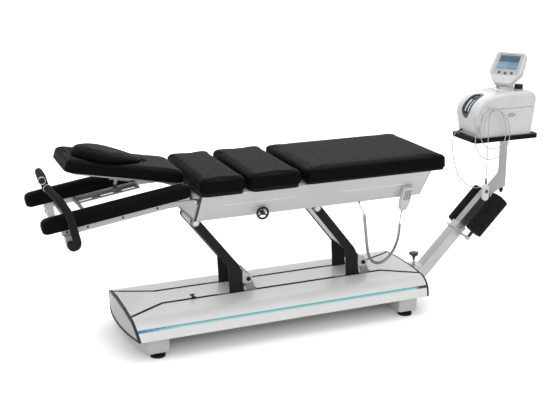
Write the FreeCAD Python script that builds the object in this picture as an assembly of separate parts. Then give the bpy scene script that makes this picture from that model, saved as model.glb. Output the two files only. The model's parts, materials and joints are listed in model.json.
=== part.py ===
import FreeCAD, Part
import math
import os

V = FreeCAD.Vector

# A motorised traction table: a low base, a parallel-arm lift, a cushioned deck with a tilting head end,
# and an inclined mast that carries a traction unit.
# Frame: X along the table towards the traction unit, Y to the left of someone looking that way, Z up.
# Places along X are measured from the middle of the base. At the end all pieces move together, so that
# the origin is on the floor under the middle of the overall length. All sizes are in millimetres.

# Base hull
BASE_LENGTH = 1696.0
BASE_WIDTH = 662.0
SKIRT_BOTTOM = 117.0
COVER_TOP = 223.0
SEAM_Y = 93.0
SHOULDER_Y = 215.0
SHOULDER_DROP = 10.0
SKIN = 4.0
END_BULGE = 54.0
END_LEAN = 18.0
GASKET_DEPTH = 12.0
GASKET_WIDTH = 12.0
END_CAP_THICKNESS = 6.0
SEAM_STRIP_WIDTH = 22.0
FLARE_LENGTH = 190.0
FLARE_WIDTH = 100.0
LIGHT_HEIGHT = 168.0
LIGHT_WIDTH = 18.0
LIGHT_DEPTH = 2.0

# Base chassis and feet
CHASSIS_BOTTOM = 120.0
CHASSIS_TUBE_HEIGHT = 36.0
CHASSIS_TUBE_WIDTH = 40.0
CHASSIS_TUBE_Y = 150.0
FOOT_BEAM_BOTTOM = 27.0
FOOT_BEAM_SETBACK = 53.0
FOOT_BEAM_DEPTH = 115.0
FOOT_BEAM_HALF_WIDTH = 298.0
FOOT_SETBACK = 110.0
FOOT_Y = 258.0
FOOT_PAD_RADIUS = 41.0
FOOT_PAD_HEIGHT = 14.0
FOOT_STEM_RADIUS = 10.0
FOOT_NUT_HEIGHT = 9.0
FOOT_HOLE_DEPTH = 40.0
FOOT_BEAM_CORNER = 14.0
FOOT_BEAM_EDGE = 8.0

# Lift arms: two equal arms of one parallelogram
HEAD_PIVOT_X = -162.0
ARM_SPACING = 711.0
PIVOT_ABOVE_COVER = 65.0
ARM_LENGTH = 476.0
ARM_ANGLE = 50.5
ARM_WIDTH = 50.0
ARM_HALF_SPACING = 89.0
ARM_PLATE = 8.0
ARM_RIB = 10.0
ARM_FOOT_LEFT = -111.0
ARM_FOOT_RIGHT = -26.0
ARM_FOOT_DEPTH = 85.0
ARM_BEND = (-83.0, 84.0)
TORQUE_SHAFT_RADIUS = 15.0
ARM_BOSS_RADIUS = 26.0
UPPER_SHAFT_RADIUS = 12.5
UPPER_LUG_RADIUS = 22.0
LUG_INNER_Y = 58.0
LUG_THICKNESS = 12.0
BUSH_WALL = 5.0
CRANK_RADIUS = 110.0
CRANK_ANGLE = 242.5
CRANK_PIN_RADIUS = 8.0
ROD_RADIUS = 10.0
ROD_LENGTH = 230.0
ACTUATOR_BORE = 18.0
ACTUATOR_WALL = 4.0
ACTUATOR_MOUTH_OUT = 102.0
GEARBOX_LENGTH = 120.0
GEARBOX_HALF_WIDTH = 34.0
GEARBOX_HEADROOM = 6.0
LIFT_MOTOR_RADIUS = 27.0
LIFT_MOTOR_LENGTH = 76.0
CONTROL_BOX_LENGTH = 80.0
CONTROL_BOX_HALF_WIDTH = 70.0
CONTROL_BOX_HEADROOM = 12.0

# Deck
DECK_LENGTH = 1353.0
DECK_DEPTH = 169.0
DECK_TOP_HALF = 289.0
DECK_BOTTOM_HALF = 167.0
DECK_SHEET = 4.0
DECK_TOP_FLANGE = 74.0
DECK_BOTTOM_FLANGE = 42.0
DECK_ABOVE_PIVOT = 26.0
DECK_HEAD_OVERHANG = 26.0
CROSS_TUBE_WIDTH = 50.0
CROSS_TUBE_HEIGHT = 40.0
CROSS_TUBE_HALF = 246.0
GROOVE_WIDTH = 9.0
GROOVE_DEPTH = 1.8
GROOVE_DROP = 76.0

# Cushions
CUSHION_WIDTH = 660.0
CUSHION_THICKNESS = 74.0
CUSHION_GAP = 22.0
CUSHION_CORNER = 42.0
CUSHION_CROWN = 22.0
BOARD_THICKNESS = 18.0
BOARD_INSET = 15.0
UPPER_THORACIC_LENGTH = 254.0
LOWER_THORACIC_LENGTH = 298.0
LUMBAR_LENGTH = 860.0
GLIDE_BAR_HEIGHT = 7.0
GLIDE_BAR_WIDTH = 18.0
GLIDE_BAR_Y = 237.0

# Head end, modelled level and then tilted about its hinge
HEAD_TILT = 11.3
HEAD_LENGTH = 627.0
HEAD_WIDTH = 380.0
HEAD_THICKNESS = 66.0
HEAD_RISE = 27.0
HEAD_SETBACK = 32.0
PILLOW_LENGTH = 372.0
PILLOW_WIDTH = 300.0
PILLOW_HEIGHT = 52.0
PILLOW_SETBACK = 58.0
PILLOW_TIP_HEIGHT = 24.0
PILLOW_EDGE = 12.0
HINGE_OUT = 21.0
HINGE_PIN_RADIUS = 6.0

# Armrests, modelled level and then sloped about their hinge
ARMREST_SLOPE = 8.5
ARMREST_Y = 255.0
ARMREST_WIDTH = 104.0
ARMREST_THICKNESS = 73.0
ARMREST_LENGTH = 773.0
ARMREST_RISE = 41.0
ARMREST_SETBACK = 12.0
ARMREST_HINGE_DROP = 35.0
ARMREST_RAIL_WIDTH = 30.0
ARMREST_RAIL_HEIGHT = 32.0
ARMREST_RAIL_FROM = 150.0
ARMREST_RAIL_TO = 690.0
INNER_PLATE_Y = 168.0
INNER_PLATE_THICKNESS = 5.0
INNER_PLATE_SLOT = 22.0
GRIP_RADIUS = 20.0
GRIP_STEPS = ((0.0, 58.0, 0.0), (22.0, 96.0, 22.0), (14.0, 84.0, 176.0), (-6.0, 30.0, 232.0),
              (-26.0, -216.0, 244.0))
GRIP_BENDS = (22.0, 22.0, 26.0, 24.0)

# Mast and tray
MAST_ANGLE = 45.3
MAST_OUT = 125.0
MAST_FOOT_Z = 129.0
MAST_OUTER = 70.0
MAST_WALL = 4.5
MAST_INNER = 52.0
MAST_OUTER_LENGTH = 345.0
ROLLER_RADIUS = 55.0
ROLLER_LENGTH = 262.0
ROLLER_Y = 100.0
ROLLER_DROP = 38.0
SPINDLE_RADIUS = 7.0
POST_OUT = 561.0
POST_WIDTH = 34.0
TRAY_TOP = 960.0
TRAY_THICKNESS = 26.0
TRAY_LENGTH = 450.0
TRAY_WIDTH = 264.0
TRAY_BEHIND_POST = 156.0
TRAY_CORNER = 30.0

# Traction unit and display
UNIT_HALF_WIDTH = 112.0
UNIT_WALL = 3.0
UNIT_SPLIT = 164.0
UNIT_EDGE = 26.0
NOSE_CENTRE = (63.0, 179.0)
NOSE_SLANT = 45.0
WINDOW_HALF_LENGTH = 88.0
WINDOW_HALF_WIDTH = 46.0
WINDOW_RIM = 16.0
PULLEY_RADIUS = 34.0
PULLEY_WIDTH = 16.0
PULLEY_PIN_RADIUS = 5.0
PULLEY_OUT = 84.0
PULLEY_UP = 154.0
DRIVE_PLATE = (60.0, 396.0)
DRIVE_PLATE_HALF_WIDTH = 90.0
DRIVE_PLATE_THICKNESS = 6.0
DRUM_OUT = 200.0
DRUM_UP = 70.0
DRUM_RADIUS = 40.0
DRUM_HALF_WIDTH = 34.0
DRUM_CHEEK = 6.0
UNIT_MOTOR = (250.0, 380.0)
UNIT_MOTOR_UP = 60.0
UNIT_MOTOR_RADIUS = 42.0
SADDLE_INSET = 20.0
DISPLAY_YAW = -55.0
DISPLAY_LEAN = 42.0
DISPLAY_TOP_WIDTH = 188.0
DISPLAY_WIDTH = 206.0
DISPLAY_CHIN_WIDTH = 104.0
DISPLAY_HEIGHT = 188.0
DISPLAY_WIDEST_AT = 62.0
DISPLAY_CHIN_DROP = 22.0
DISPLAY_CHIN_CORNER = 34.0
DISPLAY_THICKNESS = 34.0
DISPLAY_BACK = 14.0
DISPLAY_CORNER = 24.0
DISPLAY_EDGE = 7.0
DISPLAY_LUG_HALF = 37.0
DISPLAY_PIN_RADIUS = 5.0
SCREEN_RISE = 62.0
KEY_RISE = 40.0
MIDDLE_KEY_DROP = 4.0
SCREEN_WIDTH = 136.0
SCREEN_HEIGHT = 110.0
KEY_RADIUS = 9.0
KEY_SPACING = 38.0

# Handset, patient switch and cords
PENDANT_LENGTH = 160.0
PENDANT_WIDTH = 60.0
PENDANT_THICKNESS = 26.0
PENDANT_LEAN = 23.0
PENDANT_FROM_END = 117.0
PENDANT_OUT = 43.0
PENDANT_RISE = 3.0
SWITCH_WIDTH = 40.0
SWITCH_HEIGHT = 98.0
SWITCH_THICKNESS = 26.0
THIN_CORD_RADIUS = 2.5
CURLY_CORD_RADIUS = 9.0

# Fits
RUNNING_FIT = 0.05
OPEN_PIVOT_GAP = 1.0
SOFT_GAP = 0.3
PLAY = 0.5

# Derived levels and places
LOWER_PIVOT_Z = COVER_TOP + PIVOT_ABOVE_COVER
ARM_DX = -ARM_LENGTH * math.cos(math.radians(ARM_ANGLE))
ARM_DZ = ARM_LENGTH * math.sin(math.radians(ARM_ANGLE))
UPPER_PIVOT_Z = LOWER_PIVOT_Z + ARM_DZ
UPPER_HEAD_X = HEAD_PIVOT_X + ARM_DX
DECK_BOTTOM = UPPER_PIVOT_Z + DECK_ABOVE_PIVOT
DECK_TOP = DECK_BOTTOM + DECK_DEPTH
DECK_X0 = UPPER_HEAD_X - DECK_HEAD_OVERHANG
DECK_X1 = DECK_X0 + DECK_LENGTH
BOARD_TOP = DECK_TOP + BOARD_THICKNESS
CUSHION_BOTTOM = BOARD_TOP + SOFT_GAP
CUSHION_TOP = BOARD_TOP + CUSHION_THICKNESS
CUSHION_X0 = DECK_X0 - 9.0
LOWER_THORACIC_X0 = CUSHION_X0 + UPPER_THORACIC_LENGTH + CUSHION_GAP * 0.7
LUMBAR_X0 = LOWER_THORACIC_X0 + LOWER_THORACIC_LENGTH + CUSHION_GAP
CHASSIS_TOP = CHASSIS_BOTTOM + CHASSIS_TUBE_HEIGHT
FOOT_X = BASE_LENGTH / 2 - FOOT_SETBACK
HINGE_X = DECK_X0 - HINGE_OUT
HEAD_HINGE_Z = DECK_TOP + 12.0
ARMREST_HINGE_Z = DECK_TOP - ARMREST_HINGE_DROP
MAST_FOOT = V(BASE_LENGTH / 2 + MAST_OUT, 0, MAST_FOOT_Z)
POST_X = MAST_FOOT.x + POST_OUT
POST_TOP = TRAY_TOP - TRAY_THICKNESS
TRAY_X1 = POST_X + TRAY_BEHIND_POST
TRAY_X0 = TRAY_X1 - TRAY_LENGTH
ARM_PIVOTS = (HEAD_PIVOT_X, HEAD_PIVOT_X + ARM_SPACING)

os.makedirs("parts", exist_ok=True)


# Small building tools

PIECES = {}


def save(node, *solids):
    PIECES[node] = solids


def write_pieces():
    """Move the origin under the middle of the overall length, then write each piece to its file."""
    spans = [solid.optimalBoundingBox(False, False) for solids in PIECES.values() for solid in solids]
    middle = (min(s.XMin for s in spans) + max(s.XMax for s in spans)) / 2
    print("origin from the middle of the base", round(middle, 3))
    for node, solids in PIECES.items():
        for solid in solids:
            solid.translate(V(-middle, 0, 0))
        shape = solids[0] if len(solids) == 1 else Part.makeCompound(list(solids))
        shape.exportStep("parts/" + node + ".step")


def box(x, y, z):
    return Part.makeBox(x[1] - x[0], y[1] - y[0], z[1] - z[0], V(x[0], y[0], z[0]))


def rod(start, end, radius):
    axis = end.sub(start)
    return Part.makeCylinder(radius, axis.Length, start, axis)


def across(x, z, radius, y):
    return Part.makeCylinder(radius, y[1] - y[0], V(x, y[0], z), V(0, 1, 0))


def upright_rod(x, y, radius, z):
    return Part.makeCylinder(radius, z[1] - z[0], V(x, y, z[0]), V(0, 0, 1))


def polygon(points):
    return Part.Face(Part.makePolygon(points + [points[0]]))


def side_plate(points, y):
    """A plate whose outline is given as (x, z) pairs, between two values of y."""
    return polygon([V(px, y[0], pz) for px, pz in points]).extrude(V(0, y[1] - y[0], 0))


def cross_plate(points, x):
    """A plate whose outline is given as (y, z) pairs, between two values of x."""
    return polygon([V(x[0], py, pz) for py, pz in points]).extrude(V(x[1] - x[0], 0, 0))


def floor_plate(points, z):
    """A plate whose outline is given as (x, y) pairs, between two levels."""
    return polygon([V(px, py, z[0]) for px, py in points]).extrude(V(0, 0, z[1] - z[0]))


def mirrored(shape):
    return shape.mirror(V(0, 0, 0), V(0, 1, 0))


def both_sides(shape):
    return [shape, mirrored(shape)]


def both_ends(shape):
    return [shape, shape.mirror(V(0, 0, 0), V(1, 0, 0))]


def joined(first, *others):
    return first.fuse(list(others)).removeSplitter()


def is_upright(edge):
    a, b = edge.Vertexes[0].Point, edge.Vertexes[-1].Point
    return abs(a.x - b.x) < 0.01 and abs(a.y - b.y) < 0.01 and abs(a.z - b.z) > 0.01


def is_level_at(edge, z):
    return all(abs(v.Point.z - z) < 0.01 for v in edge.Vertexes)


def is_side_at(edge, y):
    return all(abs(v.Point.y - y) < 0.01 for v in edge.Vertexes)


def rounded(solid, radius, picks):
    return solid.makeFillet(radius, [e for e in solid.Edges if picks(e)])


def pad(x, y, z, corner, crown, base):
    block = rounded(box(x, y, z), corner, is_upright)
    block = rounded(block, crown, lambda e: is_level_at(e, z[1]))
    return rounded(block, base, lambda e: is_level_at(e, z[0]))


def unit_vector(v):
    return v.multiply(1.0 / v.Length)


def corner_arc(before, corner, after, reach):
    """Start, middle, end and radius of the tangent arc that rounds a corner, given its tangent length."""
    d1 = unit_vector(corner.sub(before))
    d2 = unit_vector(after.sub(corner))
    turn = d1.getAngle(d2)
    radius = reach / math.tan(turn / 2)
    inward = unit_vector(d2.sub(d1))
    middle = corner.add(inward.multiply(radius / math.cos(turn / 2) - radius))
    start = corner.sub(V(d1).multiply(reach))
    end = corner.add(V(d2).multiply(reach))
    return start, middle, end, radius


def route(points, reaches):
    """Straight runs joined by tangent arcs, with the tangent length of each inner point."""
    edges = []
    radii = []
    here = points[0]
    for i in range(1, len(points) - 1):
        start, middle, end, radius = corner_arc(points[i - 1], points[i], points[i + 1], reaches[i - 1])
        edges.append(Part.LineSegment(here, start).toShape())
        edges.append(Part.Arc(start, middle, end).toShape())
        radii.append(radius)
        here = end
    edges.append(Part.LineSegment(here, points[-1]).toShape())
    return Part.Wire(edges), radii


def pipe(path, points, radius):
    ring = Part.Wire([Part.makeCircle(radius, points[0], points[1].sub(points[0]))])
    return path.makePipeShell([ring], True, False)


def cord(name, coordinates, radius):
    points = [V(*c) for c in coordinates]
    runs = [b.sub(a).Length for a, b in zip(points, points[1:])]
    reaches = [0.45 * min(a, b) for a, b in zip(runs, runs[1:])]
    path, radii = route(points, reaches)
    tube = pipe(path, points, radius)
    expected = math.pi * radius * radius * path.Length
    print(name, "length", round(path.Length), "radii", [round(r) for r in radii],
          "volume ratio", round(tube.Volume / expected, 4))
    return tube


# Base hull section, a flat top with sloping shoulders and tangent arcs down to the skirt

SHOULDER_Z = COVER_TOP - SHOULDER_DROP
SLOPE = unit_vector(V(0, SHOULDER_Y - SEAM_Y, SHOULDER_Z - COVER_TOP))
SLOPE_NORMAL = V(0, -SLOPE.z, SLOPE.y)
SIDE_CHORD = V(0, BASE_WIDTH / 2 - SHOULDER_Y, SKIRT_BOTTOM - SHOULDER_Z)
SIDE_HALF_TURN = SLOPE.getAngle(SIDE_CHORD)
SIDE_RADIUS = SIDE_CHORD.Length / (2 * math.sin(SIDE_HALF_TURN))
SIDE_CENTRE = V(0, SHOULDER_Y, SHOULDER_Z).sub(V(SLOPE_NORMAL).multiply(SIDE_RADIUS))


def on_side_arc(radius, z):
    rise = z - SIDE_CENTRE.z
    return SIDE_CENTRE.y + math.sqrt(radius * radius - rise * rise)


def hull_section(inset, bottom):
    """The hull's section, inset from its outer face, closed by a straight bottom."""
    radius = SIDE_RADIUS - inset
    top = COVER_TOP - inset
    start = V(0, SHOULDER_Y, SHOULDER_Z).sub(V(SLOPE_NORMAL).multiply(inset))
    seam = start.sub(V(SLOPE).multiply((start.z - top) / SLOPE.z))
    end = V(0, on_side_arc(radius, bottom), bottom)
    middle_z = (start.z + bottom) / 2
    middle = V(0, on_side_arc(radius, middle_z), middle_z)

    def flip(p):
        return V(p.x, -p.y, p.z)

    edges = [
        Part.Arc(flip(end), flip(middle), flip(start)).toShape(),
        Part.LineSegment(flip(start), flip(seam)).toShape(),
        Part.LineSegment(flip(seam), seam).toShape(),
        Part.LineSegment(seam, start).toShape(),
        Part.Arc(start, middle, end).toShape(),
        Part.LineSegment(end, flip(end)).toShape(),
    ]
    return Part.Face(Part.Wire(edges))


def hull_bar(inset, bottom):
    reach = BASE_LENGTH / 2 + 2 * END_BULGE
    section = hull_section(inset, bottom)
    section.translate(V(-reach, 0, 0))
    return section.extrude(V(2 * reach, 0, 0))


def end_trim(inset):
    """Everything between the two bowed end faces: arcs at the skirt that straighten towards the top."""
    margin = 10.0
    half_width = BASE_WIDTH / 2 + margin

    def outline(z, corner, bulge):
        edges = []
        for sign in (-1, 1):
            a = V(sign * corner, sign * half_width, z)
            b = V(sign * corner, -sign * half_width, z)
            edges.append(Part.Arc(a, V(sign * (corner + bulge), 0, z), b).toShape())
            edges.append(Part.LineSegment(b, V(-sign * corner, -sign * half_width, z)).toShape())
        return Part.Wire(edges)

    corner = BASE_LENGTH / 2 - inset
    low = outline(SKIRT_BOTTOM - margin, corner, END_BULGE)
    high = outline(COVER_TOP + margin, corner + END_LEAN, 1.0)
    return Part.makeLoft([low, high], True, True)


def cover_plan(widen):
    """Plan of the top cover: narrow along the middle, flared at both ends."""
    reach = BASE_LENGTH / 2 + END_BULGE
    flare_x = BASE_LENGTH / 2 - FLARE_LENGTH
    half = SEAM_Y - SEAM_STRIP_WIDTH / 2 + widen
    end_half = half + FLARE_WIDTH * (reach - flare_x) / FLARE_LENGTH
    right = [(-reach, -end_half), (-flare_x, -half), (flare_x, -half), (reach, -end_half)]
    left = [(px, -py) for px, py in reversed(right)]
    return floor_plate(right + left, (SKIRT_BOTTOM, COVER_TOP + SKIN))


def arm_slots():
    """Slots in the covers that the lift arms swing through."""
    reach = (ARM_FOOT_LEFT - 72.0, ARM_FOOT_RIGHT + 78.0)
    inner = ARM_HALF_SPACING - ARM_RIB - 3.0
    outer = ARM_HALF_SPACING + ARM_PLATE + 3.0
    slots = []
    for x in ARM_PIVOTS:
        slot = box((x + reach[0], x + reach[1]), (inner, outer), (CHASSIS_TOP, COVER_TOP + SKIN))
        slots += both_sides(slot)
        lug_reach = (x - 4.0, x + reach[1])
        lug = box(lug_reach, (LUG_INNER_Y - PLAY, outer), (CHASSIS_TOP, COVER_TOP + SKIN))
        slots += both_sides(lug)
    crank_reach = (HEAD_PIVOT_X - 58.0, HEAD_PIVOT_X + 52.0)
    slots.append(box(crank_reach, (-CRANK_HALF - 2.0, CRANK_HALF + 2.0), (CHASSIS_TOP, COVER_TOP + SKIN)))
    return slots


def mast_opening(clearance):
    """Room for the mast bracket in the end cap and gasket of the traction end."""
    half = MAST_BRACKET_HALF + clearance
    reach = BASE_LENGTH / 2
    height = (SKIRT_BOTTOM - 1.0, MAST_BRACKET_TOP + clearance)
    return box((reach - 60.0, reach + 100.0), (-half, half), height)


MAST_BRACKET_HALF = 42.0
MAST_BRACKET_TOP = CHASSIS_TOP + 34.0


def side_band(radii, half_width):
    """A curved band along the side of the hull, centred on the height of the light strip."""
    middle = math.asin((LIGHT_HEIGHT - SIDE_CENTRE.z) / SIDE_RADIUS)
    half_angle = half_width / SIDE_RADIUS
    reach = BASE_LENGTH / 2 + END_BULGE

    def at(radius, angle):
        return V(-reach, SIDE_CENTRE.y + radius * math.cos(angle), SIDE_CENTRE.z + radius * math.sin(angle))

    angles = (middle - half_angle, middle, middle + half_angle)
    inner = [at(radii[0], a) for a in angles]
    outer = [at(radii[1], a) for a in angles]
    edges = [
        Part.Arc(*inner).toShape(),
        Part.LineSegment(inner[2], outer[2]).toShape(),
        Part.Arc(outer[2], outer[1], outer[0]).toShape(),
        Part.LineSegment(outer[0], inner[0]).toShape(),
    ]
    return Part.Face(Part.Wire(edges)).extrude(V(2 * reach, 0, 0))


def make_base_covers():
    shell = hull_bar(0, SKIRT_BOTTOM).cut(hull_bar(SKIN, SKIRT_BOTTOM - 1.0))
    shell = shell.common(end_trim(GASKET_DEPTH))
    slots = arm_slots()
    save("top_cover", shell.common(cover_plan(0)).cut(slots).Solids[0])

    strips = shell.common(cover_plan(SEAM_STRIP_WIDTH).cut(cover_plan(0))).cut(slots)
    lever_span = (SKIRT_BOTTOM, COVER_TOP + SKIN)
    lever_hole = upright_rod(COVER_LEVER_X, -SEAM_Y, LEVER_PIN + RUNNING_FIT, lever_span)
    strips = strips.cut(lever_hole)
    ring = hull_bar(0, SKIRT_BOTTOM).cut(hull_bar(GASKET_WIDTH, SKIRT_BOTTOM + GASKET_WIDTH))
    gaskets = ring.common(end_trim(0).cut(end_trim(GASKET_DEPTH))).cut(mast_opening(PLAY))
    save("base_gaskets", *(strips.Solids + gaskets.Solids))

    groove = side_band((SIDE_RADIUS - LIGHT_DEPTH, SIDE_RADIUS + SKIN), LIGHT_WIDTH / 2)
    sides = shell.cut(cover_plan(SEAM_STRIP_WIDTH)).cut(slots).cut(both_sides(groove))
    save("side_covers", *sides.Solids)

    light = side_band((SIDE_RADIUS - LIGHT_DEPTH, SIDE_RADIUS - LIGHT_DEPTH / 4), LIGHT_WIDTH / 2 - 0.2)
    light = light.common(end_trim(GASKET_DEPTH + 1.0))
    save("light_strips", *both_sides(light))

    inset = GASKET_WIDTH + 0.1
    filling = hull_bar(inset, SKIRT_BOTTOM + inset)
    caps = filling.common(end_trim(1.5).cut(end_trim(1.5 + END_CAP_THICKNESS))).cut(mast_opening(PLAY))
    save("base_end_caps", *caps.Solids)


def make_foot_beams():
    corner = BASE_LENGTH / 2 - FOOT_BEAM_SETBACK
    inner = corner - FOOT_BEAM_DEPTH
    half = FOOT_BEAM_HALF_WIDTH
    z = FOOT_BEAM_BOTTOM
    edges = [
        Part.Arc(V(corner, -half, z), V(corner + END_BULGE, 0, z), V(corner, half, z)).toShape(),
        Part.LineSegment(V(corner, half, z), V(inner, half, z)).toShape(),
        Part.LineSegment(V(inner, half, z), V(inner, -half, z)).toShape(),
        Part.LineSegment(V(inner, -half, z), V(corner, -half, z)).toShape(),
    ]
    beam = Part.Face(Part.Wire(edges)).extrude(V(0, 0, CHASSIS_BOTTOM - FOOT_BEAM_BOTTOM))
    beam = rounded(beam, FOOT_BEAM_CORNER, is_upright)
    beam = rounded(beam, FOOT_BEAM_EDGE, lambda e: is_level_at(e, FOOT_BEAM_BOTTOM))
    hole_top = FOOT_BEAM_BOTTOM + FOOT_HOLE_DEPTH
    for y in (-FOOT_Y, FOOT_Y):
        beam = beam.cut(upright_rod(FOOT_X, y, FOOT_STEM_RADIUS + PLAY, (0, hole_top)))
    save("foot_beams", *both_ends(beam))

    foot = upright_rod(FOOT_X, FOOT_Y, FOOT_PAD_RADIUS, (0, FOOT_PAD_HEIGHT))
    foot = rounded(foot, 4.0, lambda e: is_level_at(e, FOOT_PAD_HEIGHT))
    stem = upright_rod(FOOT_X, FOOT_Y, FOOT_STEM_RADIUS, (0, hole_top - 2.0))
    nut_points = []
    for k in range(6):
        angle = math.radians(60 * k)
        across_corners = FOOT_STEM_RADIUS * 2.0
        nut_x = FOOT_X + across_corners * math.cos(angle)
        nut_points.append((nut_x, FOOT_Y + across_corners * math.sin(angle)))
    nut = floor_plate(nut_points, (FOOT_BEAM_BOTTOM - FOOT_NUT_HEIGHT, FOOT_BEAM_BOTTOM))
    foot = joined(foot, stem, nut)
    feet = []
    for end in both_ends(foot):
        feet += both_sides(end)
    save("levelling_feet", *feet)


def make_chassis():
    z = (CHASSIS_BOTTOM, CHASSIS_TOP)
    half = CHASSIS_TUBE_WIDTH / 2
    reach = FOOT_X + half
    pieces = both_sides(box((-reach, reach), (CHASSIS_TUBE_Y - half, CHASSIS_TUBE_Y + half), z))
    crossings = [-FOOT_X, FOOT_X, ACTUATOR_REST_X] + [x + CROSS_OFFSET for x in ARM_PIVOTS]
    for x in crossings:
        span = FOOT_Y if abs(x) == FOOT_X else CHASSIS_TUBE_Y
        pieces.append(box((x - half, x + half), (-span, span), z))
    for x in BULKHEADS:
        bulkhead = hull_section(SKIN + 0.2, CHASSIS_BOTTOM)
        bulkhead.translate(V(x, 0, 0))
        pieces.append(bulkhead.extrude(V(6.0, 0, 0)))
    for x in ARM_PIVOTS:
        foot = [(x + CROSS_OFFSET - half, CHASSIS_TOP), (x + CROSS_OFFSET + half, CHASSIS_TOP)]
        head = [(x + ARM_BOSS_RADIUS, LOWER_PIVOT_Z), (x - ARM_BOSS_RADIUS, LOWER_PIVOT_Z)]
        y = (LUG_INNER_Y, LUG_INNER_Y + LUG_THICKNESS)
        lug = joined(side_plate(foot + head, y), across(x, LOWER_PIVOT_Z, ARM_BOSS_RADIUS, y))
        pieces += both_sides(lug)
    chassis = joined(pieces[0], *pieces[1:])
    bush_radius = TORQUE_SHAFT_RADIUS + BUSH_WALL
    bushes = []
    for x in ARM_PIVOTS:
        chassis = chassis.cut(across(x, LOWER_PIVOT_Z, bush_radius + RUNNING_FIT, (-SEAM_Y, SEAM_Y)))
        bush = across(x, LOWER_PIVOT_Z, bush_radius, (LUG_INNER_Y, LUG_INNER_Y + LUG_THICKNESS + 3.0))
        flange = across(x, LOWER_PIVOT_Z, bush_radius + 4.0,
                        (LUG_INNER_Y + LUG_THICKNESS, LUG_INNER_Y + LUG_THICKNESS + 3.0))
        bush = joined(bush, flange)
        bush = bush.cut(across(x, LOWER_PIVOT_Z, TORQUE_SHAFT_RADIUS + RUNNING_FIT, (0, SEAM_Y)))
        bushes += both_sides(bush)
    save("base_chassis", chassis)
    save("pivot_bushes", *bushes)


CROSS_OFFSET = 45.0
CRANK_HALF = 24.0
ACTUATOR_REST_X = 320.0
BULKHEADS = (FOOT_BEAM_SETBACK + 155.0 - BASE_LENGTH / 2, HEAD_PIVOT_X - 238.0, BASE_LENGTH / 2 - 188.0)


# Lift arms

def crank_pin(x):
    angle = math.radians(CRANK_ANGLE)
    return x + CRANK_RADIUS * math.cos(angle), LOWER_PIVOT_Z + CRANK_RADIUS * math.sin(angle)


def arm_strip(x, half_width, y):
    """The inclined length of an arm, from its bend to a round end at the upper pivot."""
    bend = V(ARM_BEND[0], 0, ARM_BEND[1])
    top = V(ARM_DX, 0, ARM_DZ)
    along = unit_vector(top.sub(bend))
    aside = V(along.z, 0, -along.x).multiply(half_width)
    corners = [bend.add(aside), top.add(aside), top.sub(aside), bend.sub(aside)]
    strip = side_plate([(x + c.x, LOWER_PIVOT_Z + c.z) for c in corners], y)
    return joined(strip, across(x + top.x, LOWER_PIVOT_Z + top.z, half_width, y))


def arm_foot(x, inset, y):
    """The upright foot of an arm, from inside the base to the bend."""
    bend = V(ARM_BEND[0], 0, ARM_BEND[1])
    along = unit_vector(V(ARM_DX, 0, ARM_DZ).sub(bend))
    aside = V(along.z, 0, -along.x).multiply(ARM_WIDTH / 2 - inset)
    points = [
        (ARM_FOOT_LEFT + inset, -ARM_FOOT_DEPTH + inset),
        (ARM_FOOT_RIGHT - inset, -ARM_FOOT_DEPTH + inset),
        (bend.x + aside.x + 14.0, bend.z + aside.z - 28.0),
        (bend.x + aside.x, bend.z + aside.z),
        (bend.x - aside.x, bend.z - aside.z + 30.0),
        (ARM_FOOT_LEFT - 8.0 + inset, bend.z),
    ]
    return side_plate([(x + px, LOWER_PIVOT_Z + pz) for px, pz in points], y)


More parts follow.
